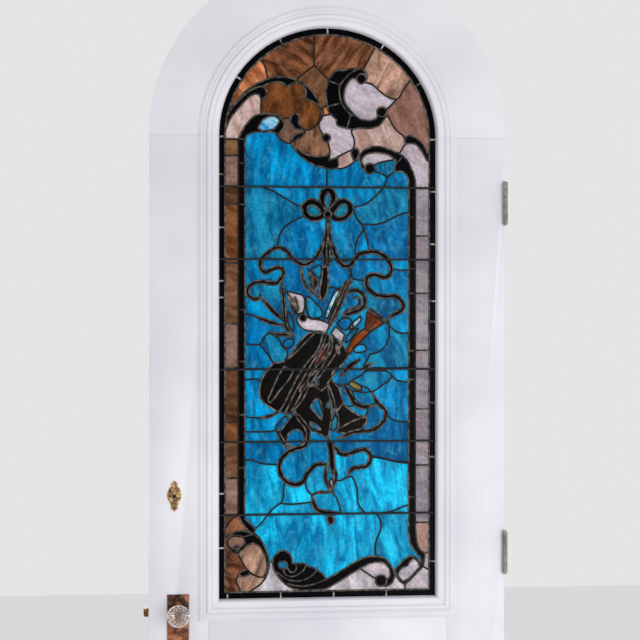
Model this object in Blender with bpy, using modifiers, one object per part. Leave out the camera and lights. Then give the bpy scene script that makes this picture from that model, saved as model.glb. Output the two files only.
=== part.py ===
"""Arched front door with a leaded glass light, hung on three butt hinges.

Metres, +Z up. The room side faces -Y and the hinges are on the right, seen from
the room. The origin is the middle of the middle hinge's jamb leaf, on the face
that lies against the jamb, so the jamb is the plane x = 0.
"""
import math

import bmesh
import bpy
from mathutils import Vector
from mathutils.geometry import delaunay_2d_cdt

# Door leaf
DOOR_WIDTH = 0.864
DOOR_HEIGHT = 2.540
DOOR_THICKNESS = 0.045
STILE_WIDTH = 0.142
BOTTOM_RAIL_HEIGHT = 0.240
LOCK_RAIL_HEIGHT = 0.198
ARCH_SEGMENTS = 20
JOINT_GAP = 0.0003

# Glazed opening and its mouldings
SIGHT_BOTTOM = 0.994
MOULDING_COVER = 0.026
MOULDING_WIDTH = 0.050
MOULDING_RISE = 0.0105

# Lower panel
PANEL_FIELD_HALF = 0.010
PANEL_EDGE_HALF = 0.006
PANEL_MARGIN = 0.040
PANEL_CLEARANCE = 0.003

# Leaded panel
GLASS_THICKNESS = 0.003
CAME_THICKNESS = 0.0056
CAME_WIDTH = 0.005
CAME_HEART = 0.0016
OUTLINE_TOLERANCE = 0.00002
EDGE_CAME_WIDTH = 0.005
RIBBON_WIDTH = 0.009
PANEL_EDGE_CLEARANCE = 0.003
BORDER_WIDTH = 0.015
STRIP_WIDTH = 0.032
INNER_STRIP_WIDTH = 0.016
BAR_DIAMETER = 0.005
BAR_SHARES = (0.181, 0.339, 0.496, 0.735, 0.892)

# Knob, spindle and lock plate
KNOB_HEIGHT = 0.965
BACKSET = 0.070
KNOB_DIAMETER = 0.056
KNOB_DEPTH = 0.036
KNOB_FLUTES = 12
KNOB_FLUTE_SHARE = 0.07
SHANK_LENGTH = 0.024
SHANK_DIAMETER = 0.022
SHANK_FLANGE_DIAMETER = 0.032
SPINDLE_SIZE = 0.008
SPINDLE_CLEARANCE = 0.0006
SPINDLE_BORE_DIAMETER = 0.018
LOCK_PLATE_WIDTH = 0.052
LOCK_PLATE_HEIGHT = 0.190
LOCK_PLATE_THICKNESS = 0.0022
LOCK_PLATE_ABOVE_KNOB = 0.045
TURNING_CLEARANCE = 0.0006

# Latch
LATCH_THICKNESS = 0.0125
LATCH_HEIGHT = 0.020
LATCH_BODY = 0.030
LATCH_THROW = 0.012
LATCH_CLEARANCE = 0.0005
FACE_PLATE_WIDTH = 0.025
FACE_PLATE_HEIGHT = 0.140
FACE_PLATE_THICKNESS = 0.0025

# Keyhole escutcheon
KEYHOLE_HEIGHT = 1.245
KEYHOLE_BACKSET = 0.061
ESCUTCHEON_HALF_WIDTH = 0.017
ESCUTCHEON_HALF_HEIGHT = 0.038
ESCUTCHEON_THICKNESS = 0.002
KEYHOLE_RADIUS = 0.0048
KEYHOLE_SLOT_HALF = 0.0020
KEYHOLE_SLOT_DROP = 0.013
KEYHOLE_STEPS = 10

# Butt hinges
HINGE_HEIGHTS = (0.250, 1.100, 1.950)
MIDDLE_HINGE = 1
HINGE_HEIGHT = 0.100
LEAF_THICKNESS = 0.003
LEAF_DEPTH = 0.035
LEAF_GAP = 0.001
BARREL_RADIUS = 0.006
PIN_RADIUS = 0.003
PIN_CLEARANCE = 0.0003
PIN_HEAD_RADIUS = 0.005
PIN_HEAD_HEIGHT = 0.004
BARREL_SWING_CLEARANCE = 0.0005
KNUCKLE_GAP = 0.0004
KNUCKLES = 3
ROUND_SIDES = 10

# Places worked out from the sizes
HALF_THICKNESS = DOOR_THICKNESS / 2
HALF_OPENING = DOOR_WIDTH / 2 - STILE_WIDTH
HALF_SIGHT = HALF_OPENING - MOULDING_COVER
EDGE_X = -(LEAF_THICKNESS + LEAF_GAP)
CENTRE_X = EDGE_X - DOOR_WIDTH / 2
LOCK_EDGE_X = EDGE_X - DOOR_WIDTH
FLOOR_Z = -HINGE_HEIGHTS[MIDDLE_HINGE]
SPRING_Z = FLOOR_Z + DOOR_HEIGHT - DOOR_WIDTH / 2
SIGHT_Z = FLOOR_Z + SIGHT_BOTTOM
LOCK_RAIL_TOP_Z = SIGHT_Z - MOULDING_COVER
LOCK_RAIL_BOTTOM_Z = LOCK_RAIL_TOP_Z - LOCK_RAIL_HEIGHT
BOTTOM_RAIL_TOP_Z = FLOOR_Z + BOTTOM_RAIL_HEIGHT
PIN_X = -(LEAF_THICKNESS + LEAF_GAP / 2)
PIN_Y = -(HALF_THICKNESS + BARREL_RADIUS + BARREL_SWING_CLEARANCE)
KNOB_X = LOCK_EDGE_X + BACKSET
KNOB_Z = FLOOR_Z + KNOB_HEIGHT
KEYHOLE_X = LOCK_EDGE_X + KEYHOLE_BACKSET
KEYHOLE_Z = FLOOR_Z + KEYHOLE_HEIGHT

# The leading is drawn in millimetres from the middle of the sight opening's foot.
# These are the drawing's own half-widths of blue field, inner strip and side strip.
DRAWN_LEFT = (0.0, 201.0, 217.0, 249.0, 264.0, 290.0)
DRAWN_RIGHT = (0.0, 197.0, 213.0, 246.0, 264.0, 290.0)
DRAWN_SPRING = 1114.0
DRAWN_RADIUS = 264.0

COLOURS = {
    "paint": (0.74, 0.74, 0.78),
    "panel_paint": (0.70, 0.70, 0.74),
    "lead": (0.055, 0.047, 0.042),
    "black_glass": (0.004, 0.004, 0.005),
    "brown_glass": (0.22, 0.085, 0.035),
    "lilac_glass": (0.56, 0.52, 0.58),
    "amber_glass": (0.30, 0.13, 0.06),
    "blue_glass": (0.02, 0.21, 0.44),
    "iron": (0.02, 0.02, 0.02),
    "copper": (0.24, 0.09, 0.05),
    "brass": (0.36, 0.20, 0.08),
    "clear_glass": (0.80, 0.84, 0.86),
    "steel": (0.33, 0.31, 0.29),
}


def clear_scene():
    for thing in list(bpy.data.objects):
        bpy.data.objects.remove(thing, do_unlink=True)


def new_collection(name):
    collection = bpy.data.collections.new(name)
    bpy.context.scene.collection.children.link(collection)
    return collection


def material(name, roughness, metallic=0.0):
    made = bpy.data.materials.get(name)
    if made is None:
        made = bpy.data.materials.new(name)
        made.use_nodes = True
        shader = made.node_tree.nodes["Principled BSDF"]
        shader.inputs["Base Color"].default_value = (*COLOURS[name], 1.0)
        shader.inputs["Roughness"].default_value = roughness
        shader.inputs["Metallic"].default_value = metallic
    return made


FINISHES = {
    "paint": (0.45, 0.0),
    "panel_paint": (0.45, 0.0),
    "lead": (0.55, 0.7),
    "black_glass": (0.15, 0.0),
    "brown_glass": (0.20, 0.0),
    "lilac_glass": (0.20, 0.0),
    "amber_glass": (0.20, 0.0),
    "blue_glass": (0.20, 0.0),
    "iron": (0.50, 0.8),
    "copper": (0.45, 1.0),
    "brass": (0.40, 1.0),
    "clear_glass": (0.05, 0.0),
    "steel": (0.40, 1.0),
}


def empty(name, place, parent=None):
    """An axis or frame that pieces hang from; places are world coordinates."""
    made = bpy.data.objects.new(name, None)
    made.empty_display_size = 0.05
    PARTS.objects.link(made)
    made.parent = parent
    base = WORLD_PLACES[parent.name] if parent else Vector((0, 0, 0))
    made.location = Vector(place) - base
    WORLD_PLACES[name] = Vector(place)
    return made


def add_piece(name, mesh_or_curve, finish, place, parent, smooth=False):
    """Names a piece, gives it its finish and puts it at a world place under its parent."""
    made = bpy.data.objects.new(name, mesh_or_curve)
    PARTS.objects.link(made)
    mesh_or_curve.materials.append(material(finish, *FINISHES[finish]))
    made.parent = parent
    made.location = Vector(place) - WORLD_PLACES[parent.name]
    if smooth:
        mesh_or_curve.shade_smooth()
        mesh_or_curve.set_sharp_from_angle(angle=math.radians(35))
    return made


def add_cutter(name, mesh, place):
    made = bpy.data.objects.new(name, mesh)
    CUTTERS.objects.link(made)
    made.location = place
    made.hide_render = True
    made.display_type = "WIRE"
    return made


def boolean(target, tool, operation):
    step = target.modifiers.new(tool.name, "BOOLEAN")
    step.operation = operation
    step.object = tool
    return step


def mesh_from(name, work):
    bmesh.ops.recalc_face_normals(work, faces=work.faces)
    made = bpy.data.meshes.new(name)
    work.to_mesh(made)
    work.free()
    return made


def box_mesh(name, size):
    work = bmesh.new()
    bmesh.ops.create_cube(work, size=1.0)
    bmesh.ops.scale(work, vec=Vector(size), verts=work.verts)
    return mesh_from(name, work)


def cylinder_mesh(name, radius, depth, axis="Z", sides=ROUND_SIDES):
    work = bmesh.new()
    bmesh.ops.create_cone(work, cap_ends=True, segments=sides, radius1=radius, radius2=radius, depth=depth)
    turn_to(work, axis)
    return mesh_from(name, work)


def turn_to(work, axis):
    """Turns a shape made along Z so that it lies along X or Y."""
    from_z = {"X": Vector((1, 0, 0)), "Y": Vector((0, 1, 0)), "Z": Vector((0, 0, 1))}[axis]
    turn = Vector((0, 0, 1)).rotation_difference(from_z).to_matrix()
    bmesh.ops.rotate(work, matrix=turn, verts=work.verts)


def turned_mesh(name, profile, sides, closed=False):
    """A profile of (radius, height), top to bottom, turned about Z by a Screw modifier."""
    outline = bpy.data.meshes.new(name + "_profile")
    points = [(radius, 0.0, height) for radius, height in profile]
    edges = [(i, i + 1) for i in range(len(points) - 1)]
    if closed:
        edges.append((len(points) - 1, 0))
    outline.from_pydata(points, edges, [])
    turner = bpy.data.objects.new(name + "_turner", outline)
    CUTTERS.objects.link(turner)
    screw = turner.modifiers.new("turn", "SCREW")
    screw.steps = sides
    screw.render_steps = sides
    screw.use_merge_vertices = True
    screw.merge_threshold = 0.00001
    bpy.context.view_layer.update()
    evaluated = turner.evaluated_get(bpy.context.evaluated_depsgraph_get())
    made = bpy.data.meshes.new_from_object(evaluated)
    made.name = name
    bpy.data.objects.remove(turner, do_unlink=True)
    work = bmesh.new()
    work.from_mesh(made)
    bmesh.ops.remove_doubles(work, verts=work.verts, dist=0.00001)
    bmesh.ops.recalc_face_normals(work, faces=work.faces)
    work.to_mesh(made)
    work.free()
    return made


def swept_mesh(name, section, stations):
    """Lofts a section of (outward, depth) points through stations.

    A station is (foot, outward, depth): the section's zero point, the way that its
    width runs, stretched where a mitre needs it, and the way that its depth runs.
    """
    work = bmesh.new()
    rings = []
    for foot, outward, depth in stations:
        ring = [work.verts.new(foot + outward * wide + depth * high) for wide, high in section]
        rings.append(ring)
    for first, second in zip(rings, rings[1:]):
        for i in range(len(section)):
            j = (i + 1) % len(section)
            work.faces.new((first[i], first[j], second[j], second[i]))
    work.faces.new(rings[0])
    work.faces.new(tuple(reversed(rings[-1])))
    return mesh_from(name, work)


def in_door(u, v):
    """A point of the door's plane from the window's centreline and sight foot, in metres."""
    return Vector((CENTRE_X + u, 0.0, SIGHT_Z + v))


def arch_angle(index):
    return math.pi - math.pi * index / ARCH_SEGMENTS


# Woodwork


def make_stile(name, side, door):
    low = FLOOR_Z
    high = SPRING_Z - JOINT_GAP / 2
    middle = CENTRE_X + side * (HALF_OPENING + STILE_WIDTH / 2)
    size = (STILE_WIDTH, DOOR_THICKNESS, high - low)
    return add_piece(name, box_mesh(name, size), "paint", (middle, 0, (low + high) / 2), door)


def make_rail(name, low, high, door):
    size = (2 * (HALF_OPENING - JOINT_GAP), DOOR_THICKNESS, high - low)
    return add_piece(name, box_mesh(name, size), "paint", (CENTRE_X, 0, (low + high) / 2), door)


def make_arched_head(door):
    inner = HALF_OPENING
    section = (
        (0.0, -HALF_THICKNESS),
        (STILE_WIDTH, -HALF_THICKNESS),
        (STILE_WIDTH, HALF_THICKNESS),
        (0.0, HALF_THICKNESS),
    )
    centre = Vector((0, 0, JOINT_GAP / 2))
    stations = []
    for index in range(ARCH_SEGMENTS + 1):
        angle = arch_angle(index)
        outward = Vector((math.cos(angle), 0, math.sin(angle)))
        stations.append((centre + outward * inner, outward, Vector((0, 1, 0))))
    mesh = swept_mesh("arched_head", section, stations)
    return add_piece("arched_head", mesh, "paint", (CENTRE_X, 0, SPRING_Z), door)


def make_lower_panel(door):
    width = 2 * (HALF_OPENING - PANEL_CLEARANCE)
    low = BOTTOM_RAIL_TOP_Z + PANEL_CLEARANCE
    high = LOCK_RAIL_BOTTOM_Z - PANEL_CLEARANCE
    work = bmesh.new()
    bmesh.ops.create_cube(work, size=1.0)
    bmesh.ops.scale(work, vec=Vector((width, 2 * PANEL_EDGE_HALF, high - low)), verts=work.verts)
    work.normal_update()
    faces = [face for face in work.faces if abs(face.normal.y) > 0.5]
    bmesh.ops.inset_individual(work, faces=faces, thickness=MOULDING_COVER - PANEL_CLEARANCE,
                               use_even_offset=True)
    bmesh.ops.inset_individual(work, faces=faces, thickness=PANEL_MARGIN,
                               depth=PANEL_FIELD_HALF - PANEL_EDGE_HALF, use_even_offset=True)
    mesh = mesh_from("lower_panel", work)
    return add_piece("lower_panel", mesh, "panel_paint", (CENTRE_X, 0, (low + high) / 2), door)


def moulding_section(seat):
    """The moulding's section: width out from the sight edge, depth out from the door's middle."""
    face = HALF_THICKNESS
    rise = MOULDING_RISE
    width = MOULDING_WIDTH
    edge = MOULDING_COVER - JOINT_GAP
    return (
        (0.0, seat),
        (0.0, face - 0.19 * rise),
        (0.12 * width, face + 0.06 * rise),
        (0.28 * width, face + 0.67 * rise),
        (0.46 * width, face + rise),
        (0.60 * width, face + 0.40 * rise),
        (0.78 * width, face + 0.56 * rise),
        (width, face + 0.14 * rise),
        (width, face + JOINT_GAP),
        (edge, face + JOINT_GAP),
        (edge, seat),
    )


def straight_moulding(name, seat, start, end, out_start, out_end, facing, door):
    """A length of moulding between two places, mitred or square as its ends' directions say."""
    along = (end - start).normalized() * (JOINT_GAP / 2)
    depth = Vector((0, facing, 0))
    stations = ((start + along, out_start, depth), (end - along, out_end, depth))
    origin = (start + end) / 2
    moved = [(foot - origin, out, deep) for foot, out, deep in stations]
    mesh = swept_mesh(name, moulding_section(seat), moved)
    return add_piece(name, mesh, "paint", origin, door)


def make_glazing_mouldings(side_name, facing, door):
    seat = CAME_THICKNESS / 2 + JOINT_GAP
    spring = SPRING_Z - SIGHT_Z
    low_left = in_door(-HALF_SIGHT, 0)
    low_right = in_door(HALF_SIGHT, 0)
    high_left = in_door(-HALF_SIGHT, spring)
    high_right = in_door(HALF_SIGHT, spring)
    left = Vector((-1, 0, 0))
    right = Vector((1, 0, 0))
    down = Vector((0, 0, -1))
    prefix = "glazing_moulding_" + side_name
    straight_moulding(prefix + "_left", seat, low_left, high_left, left + down, left, facing, door)
    straight_moulding(prefix + "_right", seat, low_right, high_right, right + down, right, facing, door)
    straight_moulding(prefix + "_bottom", seat, low_left, low_right, left + down, right + down, facing, door)
    stations = []
    for index in range(ARCH_SEGMENTS + 1):
        angle = arch_angle(index)
        outward = Vector((math.cos(angle), 0, math.sin(angle)))
        foot = outward * HALF_SIGHT + Vector((0, 0, JOINT_GAP / 2))
        stations.append((foot, outward, Vector((0, facing, 0))))
    mesh = swept_mesh(prefix + "_arch", moulding_section(seat), stations)
    add_piece(prefix + "_arch", mesh, "paint", (CENTRE_X, 0, SPRING_Z), door)


def make_panel_mouldings(side_name, facing, door):
    seat = PANEL_EDGE_HALF + JOINT_GAP
    low = BOTTOM_RAIL_TOP_Z + MOULDING_COVER
    high = LOCK_RAIL_BOTTOM_Z - MOULDING_COVER
    corners = {
        "low_left": Vector((CENTRE_X - HALF_SIGHT, 0, low)),
        "low_right": Vector((CENTRE_X + HALF_SIGHT, 0, low)),
        "high_left": Vector((CENTRE_X - HALF_SIGHT, 0, high)),
        "high_right": Vector((CENTRE_X + HALF_SIGHT, 0, high)),
    }
    outs = {
        "low_left": Vector((-1, 0, -1)),
        "low_right": Vector((1, 0, -1)),
        "high_left": Vector((-1, 0, 1)),
        "high_right": Vector((1, 0, 1)),
    }
    lengths = {
        "left": ("low_left", "high_left"),
        "right": ("low_right", "high_right"),
        "top": ("high_left", "high_right"),
        "bottom": ("low_left", "low_right"),
    }
    for place, (first, second) in lengths.items():
        name = "panel_moulding_" + side_name + "_" + place
        straight_moulding(name, seat, corners[first], corners[second],
                          outs[first], outs[second], facing, door)


# The leading's drawing, in millimetres from the window's centreline and sight foot


BLUE_TOP = (
    (-201, 1108), (-186, 1126), (-129, 1122), (-74, 1076), (-13, 1043), (54, 1048),
    (95, 1074), (131, 1078), (185, 1040), (197, 1000),
)
BLUE_FOOT = (
    (197, 150), (207, 102), (163, 64), (118, 95), (45, 68), (-5, 42), (-50, 78), (-87, 85),
    (-110, 115), (-137, 96), (-160, 142), (-201, 182),
)
LEADS = {
    "head_stem": ((-33, 1367), (-33, 1289)),
    "crest": ((-246, 1174), (-199, 1224), (-127, 1258), (-36, 1222), (-8, 1150), (-13, 1043)),
    "left_scroll": ((-217, 1108), (-190, 1153), (-154, 1169), (-116, 1160), (-129, 1122)),
    "c_scroll": ((84, 1280), (38, 1278), (1, 1250), (-5, 1215), (8, 1168), (50, 1137), (105, 1138), (144, 1172)),
    "shell": ((114, 1336), (84, 1280), (99, 1250), (134, 1222), (170, 1211), (202, 1256)),
    "shell_side": ((170, 1211), (144, 1172), (190, 1117), (185, 1040)),
    "scroll_right": ((78, 1062), (95, 1087), (140, 1092), (190, 1068), (213, 1000)),
    "hanger": ((0, 1044), (0, 990)),
    "field_left": ((-201, 1000), (-130, 982), (-64, 943)),
    "arc_left": ((-64, 943), (-106, 896), (-122, 847)),
    "field_right": ((64, 943), (113, 970), (145, 1014), (165, 1066)),
    "swag_right": ((64, 943), (84, 905), (141, 911), (197, 935)),
    "horn_low": ((10, 560), (67, 606), (137, 663)),
    "leaf_right": ((20, 520), (95, 548), (160, 535), (197, 524)),
    "pipe_right": ((0, 530), (35, 480), (88, 440), (25, 400)),
    "low_left": ((-118, 450), (-201, 437)),
    "field_low_right": ((106, 337), (197, 328)),
    "lead_left": ((-105, 280), (-110, 235), (-150, 195), (-182, 164)),
    "lead_foot": ((5, 208), (-4, 145), (-50, 78)),
    "lead_foot_right": ((125, 203), (131, 175), (117, 125), (120, 95)),
    "round_left": ((-137, 96), (-142, 70), (-165, 32), (-200, 15)),
    "round_inside": ((-160, 142), (-217, 107), (-200, 72), (-158, 36)),
    "fan_edge": ((-137, 96), (-125, 62), (-88, 24), (-40, 15)),
    "sweep_low": ((-88, 24), (0, 24), (45, 48), (118, 80), (154, 60), (150, 36), (125, 15)),
    "sweep_lead": ((85, 66), (120, 38)),
    "heart": ((163, 64), (170, 45), (190, 27), (232, 66), (207, 102)),
}
RIBBONS = {
    "ribbon_left": ((0, 928), (-13, 866), (-38, 808), (-87, 822), (-122, 847), (-162, 808), (-112, 784),
                    (-140, 762), (-188, 756), (-180, 725)),
    "ribbon_right": ((0, 928), (14, 846), (40, 805), (80, 834), (130, 832), (156, 798), (97, 768),
                     (130, 730), (176, 724), (180, 694), (147, 674)),
    "scroll_low_right": ((0, 385), (60, 400), (125, 412), (144, 445), (118, 478), (110, 497)),
    "stem": ((0, 385), (8, 330), (8, 300), (5, 252)),
    "scroll_low_left": ((8, 322), (-20, 322), (-52, 285), (-85, 272), (-120, 305), (-110, 350), (-58, 368),
                        (-45, 400), (-85, 452)),
    "scroll_foot_right": ((12, 372), (36, 347), (90, 356), (106, 337), (80, 313), (48, 293), (8, 283)),
}
LOOPS = {
    "bow_left": ((0, 932), (-38, 966), (-64, 943), (-40, 915)),
    "bow_right": ((0, 932), (38, 966), (64, 943), (40, 915)),
    "bow_top": ((0, 934), (-20, 970), (0, 993), (20, 970)),
    "violin": ((-118, 450), (-158, 477), (-164, 518), (-134, 562), (-100, 572), (-30, 640), (20, 640),
               (-30, 550), (-85, 452)),
    "round_loop": ((5, 252), (-32, 250), (-36, 225), (-5, 206), (30, 206)),
}
BORDER_JOINT_ANGLES = (147, 90, 31)


def drawn(u, v):
    """A point of the drawing in the window's plane, in metres, fitted to the real sizes."""
    border = HALF_SIGHT - BORDER_WIDTH
    strip = border - STRIP_WIDTH
    inner = strip - INNER_STRIP_WIDTH
    real = (0.0, inner, strip, border, HALF_SIGHT, HALF_OPENING)
    knots = DRAWN_LEFT if u < 0 else DRAWN_RIGHT
    size = abs(u)
    across = real[-1]
    for i in range(len(knots) - 1):
        if size <= knots[i + 1]:
            share = (size - knots[i]) / (knots[i + 1] - knots[i])
            across = real[i] + share * (real[i + 1] - real[i])
            break
    spring = SPRING_Z - SIGHT_Z
    if v <= DRAWN_SPRING:
        up = v / DRAWN_SPRING * spring
    else:
        up = spring + (v - DRAWN_SPRING) / DRAWN_RADIUS * HALF_SIGHT
    return Vector((math.copysign(across, u), up))


def arched_path(half_width, foot):
    """The window's outline at a half-width: up the left side, round the arch and down."""
    spring = SPRING_Z - SIGHT_Z
    path = [Vector((-half_width, foot))]
    for index in range(ARCH_SEGMENTS + 1):
        angle = arch_angle(index)
        path.append(Vector((half_width * math.cos(angle), spring + half_width * math.sin(angle))))
    path.append(Vector((half_width, foot)))
    return path


def smooth_path(points, steps=2):
    """Points on a curve through the drawn points, with a few steps from each to the next."""
    path = []
    for i in range(len(points) - 1):
        first = points[i]
        second = points[i + 1]
        before = points[max(i - 1, 0)]
        after = points[min(i + 2, len(points) - 1)]
        for step in range(steps):
            t = step / steps
            path.append(0.5 * (2 * first + (second - before) * t
                               + (2 * before - 5 * first + 4 * second - after) * t * t
                               + (3 * first - before - 3 * second + after) * t ** 3))
    path.append(points[-1])
    return path


def band_quads(path, width, closed=False):
    """Four-sided pieces along a path, mitred where they meet."""
    count = len(path)
    sides = []
    for i in range(count):
        into = path[i] - path[i - 1] if closed or i > 0 else path[1] - path[0]
        out = path[(i + 1) % count] - path[i] if closed or i < count - 1 else path[-1] - path[-2]
        into.normalize()
        out.normalize()
        middle = into + out
        if middle.length < 0.5:
            middle = out
        middle.normalize()
        across = Vector((-middle.y, middle.x))
        stretch = 1.0 / max(0.6, across.dot(Vector((-out.y, out.x))))
        reach = across * (width / 2 * stretch)
        sides.append((path[i] + reach, path[i] - reach))
    spans = count if closed else count - 1
    quads = []
    for i in range(spans):
        j = (i + 1) % count
        quads.append((sides[i][1], sides[j][1], sides[j][0], sides[i][0]))
    return quads


def triangulate(faces):
    """Triangles of all faces laid over each other, and which faces each lies in."""
    points = []
    indices = []
    for face in faces:
        start = len(points)
        points.extend(Vector((point.x * 1000, point.y * 1000)) for point in face)
        indices.append(list(range(start, start + len(face))))
    verts, _, triangles, _, _, owners = delaunay_2d_cdt(points, [], indices, 1, 0.02, True)
    return [Vector((vert.x, vert.y)) / 1000 for vert in verts], triangles, owners


def part_pinches(triangles, chosen):
    """Drops triangles from a region where it would touch itself at a single point."""
    chosen = set(chosen)
    changed = True
    while changed:
        changed = False
        around = {}
        for index in chosen:
            for vert in triangles[index]:
                around.setdefault(vert, []).append(index)
        for vert, members in around.items():
            fans = []
            left = set(members)
            while left:
                fan = {left.pop()}
                grown = True
                while grown:
                    grown = False
                    for other in list(left):
                        edge_mates = any(len(set(triangles[other]) & set(triangles[mine])) == 2
                                         for mine in fan)
                        if edge_mates:
                            fan.add(other)
                            left.discard(other)
                            grown = True
                fans.append(fan)
            if len(fans) > 1:
                fans.sort(key=len)
                chosen -= fans[0]
                changed = True
                break
    return chosen


def boundary_edges(triangles, chosen):
    """Edges with the region on one side only, in the region's own turning direction."""
    directed = set()
    for index in chosen:
        a, b, c = triangles[index]
        directed.update(((a, b), (b, c), (c, a)))
    return [edge for edge in directed if (edge[1], edge[0]) not in directed]


def retriangulate(points, triangles, regions):
    """Triangulates regions again from their outlines alone, without points on straight runs."""
    outlines = [{frozenset(edge) for edge in boundary_edges(triangles, region)} for region in regions]
    edges = set().union(*outlines)
    mates = {}
    for edge in edges:
        for vert in edge:
            mates.setdefault(vert, set()).update(edge - {vert})
    for vert in sorted(mates):
        if len(mates[vert]) != 2:
            continue
        first, second = mates[vert]
        near = frozenset((vert, first))
        far = frozenset((vert, second))
        joined = frozenset((first, second))
        same = all((near in outline) == (far in outline) for outline in outlines)
        span = points[second] - points[first]
        bow = abs(span.cross(points[vert] - points[first])) / max(span.length, 1e-9)
        if not same or joined in edges or bow > OUTLINE_TOLERANCE:
            continue
        for outline in outlines:
            if near in outline:
                outline -= {near, far}
                outline.add(joined)
        edges -= {near, far}
        edges.add(joined)
        mates[first] = (mates[first] - {vert}) | {second}
        mates[second] = (mates[second] - {vert}) | {first}
    used = sorted({vert for edge in edges for vert in edge})
    place = {vert: index for index, vert in enumerate(used)}
    flat = [points[vert] * 1000 for vert in used]
    links = [tuple(place[vert] for vert in edge) for edge in sorted(edges, key=sorted)]
    verts, _, faces, _, _, _ = delaunay_2d_cdt(flat, links, [], 1, 0.001, False)
    new_points = [Vector((vert.x, vert.y)) / 1000 for vert in verts]
    new_regions = []
    for outline in outlines:
        lines = [tuple(points[vert] for vert in sorted(edge)) for edge in outline]
        chosen = set()
        for index, face in enumerate(faces):
            centre = sum((new_points[vert] for vert in face), Vector((0, 0))) / 3
            if inside(lines, centre):
                chosen.add(index)
        new_regions.append(chosen)
    return new_points, faces, new_regions


def layered_mesh(name, points, triangles, levels, layers):
    """A closed solid from flat regions stacked between levels.

    layers[i] is the set of triangles that are solid between levels[i] and levels[i + 1].
    """
    work = bmesh.new()
    made = {}

    def vert(index, level):
        key = (index, level)
        if key not in made:
            point = points[index]
            made[key] = work.verts.new((CENTRE_X + point.x, levels[level], SIGHT_Z + point.y))
        return made[key]

    for level in range(len(levels)):
        above = layers[level] if level < len(layers) else set()
        below = layers[level - 1] if level > 0 else set()
        for index in above ^ below:
            work.faces.new([vert(i, level) for i in triangles[index]])
    for level, region in enumerate(layers):
        for first, second in boundary_edges(triangles, region):
            work.faces.new((vert(first, level), vert(second, level),
                            vert(second, level + 1), vert(first, level + 1)))
    return mesh_from(name, work)


def heart_paths():
    """Centre lines of the cames that part one glass zone from the next."""
    border = HALF_SIGHT - BORDER_WIDTH
    edge = HALF_OPENING - PANEL_EDGE_CLEARANCE - EDGE_CAME_WIDTH / 2
    foot = -(edge - HALF_SIGHT)
    spring = SPRING_Z - SIGHT_Z
    blue = blue_loop()
    strip_left = drawn(-217, 0).x
    strip_right = drawn(213, 0).x
    inner_left = drawn(-201, 0).x
    inner_right = drawn(197, 0).x
    top_left = drawn(-201, 1108).y
    top_right = drawn(197, 1000).y
    low_left = drawn(-201, 182).y
    low_right = drawn(197, 150).y
    return {
        "border": (arched_path(border, foot), False),
        "border_foot": ([Vector((-border, BORDER_WIDTH)), Vector((border, BORDER_WIDTH))], False),
        "spring_left": ([Vector((-edge, spring)), Vector((-border, spring))], False),
        "spring_right": ([Vector((border, spring)), Vector((edge, spring))], False),
        "blue": (blue, True),
        "strip_left": ([Vector((strip_left, low_left)), Vector((strip_left, top_left))], False),
        "strip_right": ([Vector((strip_right, low_right)), Vector((strip_right, top_right))], False),
        "strip_left_top": ([Vector((-border, top_left)), Vector((inner_left, top_left))], False),
        "strip_right_top": ([Vector((inner_right, top_right)), Vector((border, top_right))], False),
        "strip_left_foot": ([Vector((-border, low_left)), Vector((inner_left, low_left))], False),
        "strip_right_foot": ([Vector((inner_right, low_right)), Vector((border, low_right))], False),
    }


def blue_loop():
    """The blue field's outline, turning clockwise from its left foot."""
    top = smooth_path([drawn(*point) for point in BLUE_TOP])
    foot = smooth_path([drawn(*point) for point in BLUE_FOOT])
    return top + foot


def flange_bands():
    """Every came as a band: (path, width, closed)."""
    bands = []
    for path, closed in heart_paths().values():
        bands.append((path, CAME_WIDTH, closed))
    for points in LEADS.values():
        path = [drawn(*point) for point in points]
        bands.append((path, CAME_WIDTH, False))
    for points in RIBBONS.values():
        bands.append(([drawn(*point) for point in points], RIBBON_WIDTH, False))
    for points in LOOPS.values():
        bands.append(([drawn(*point) for point in points], CAME_WIDTH, True))
    border = HALF_SIGHT - BORDER_WIDTH
    edge = HALF_OPENING - PANEL_EDGE_CLEARANCE - EDGE_CAME_WIDTH / 2
    spring = SPRING_Z - SIGHT_Z
    for degrees in BORDER_JOINT_ANGLES:
        outward = Vector((math.cos(math.radians(degrees)), math.sin(math.radians(degrees))))
        centre = Vector((0, spring))
        bands.append(([centre + outward * border, centre + outward * edge], CAME_WIDTH, False))
    return bands


def edge_band():
    edge = HALF_OPENING - PANEL_EDGE_CLEARANCE - EDGE_CAME_WIDTH / 2
    path = arched_path(edge, -(edge - HALF_SIGHT))
    return band_quads(path, EDGE_CAME_WIDTH, closed=True)


def make_cames(door):
    """The soldered lead network: room and street flanges joined by hearts between zones."""
    flanges = []
    for path, width, closed in flange_bands():
        flanges.extend(band_quads(path, width, closed))
    hearts = []
    for path, closed in heart_paths().values():
        hearts.extend(band_quads(path, CAME_HEART, closed))
    rim = edge_band()
    points, triangles, owners = triangulate(flanges + hearts + rim)
    first_heart = len(flanges)
    flange_region = set()
    heart_region = set()
    for index, owner in enumerate(owners):
        if not owner:
            continue
        flange_region.add(index)
        if any(face >= first_heart for face in owner):
            heart_region.add(index)
    flange_region = largest_part(triangles, part_pinches(triangles, flange_region))
    heart_region = fill_pockets(triangles, flange_region, heart_region & flange_region)
    heart_region = part_pinches(triangles, heart_region)
    points, triangles, tidy = retriangulate(points, triangles, (flange_region, heart_region))
    flange_region, heart_region = tidy
    outer = CAME_THICKNESS / 2
    inner = GLASS_THICKNESS / 2 + JOINT_GAP
    mesh = layered_mesh("lead_cames", points, triangles, (-outer, -inner, inner, outer),
                        (flange_region, heart_region, flange_region))
    add_piece("lead_cames", mesh, "lead", (0, 0, 0), door)


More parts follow.
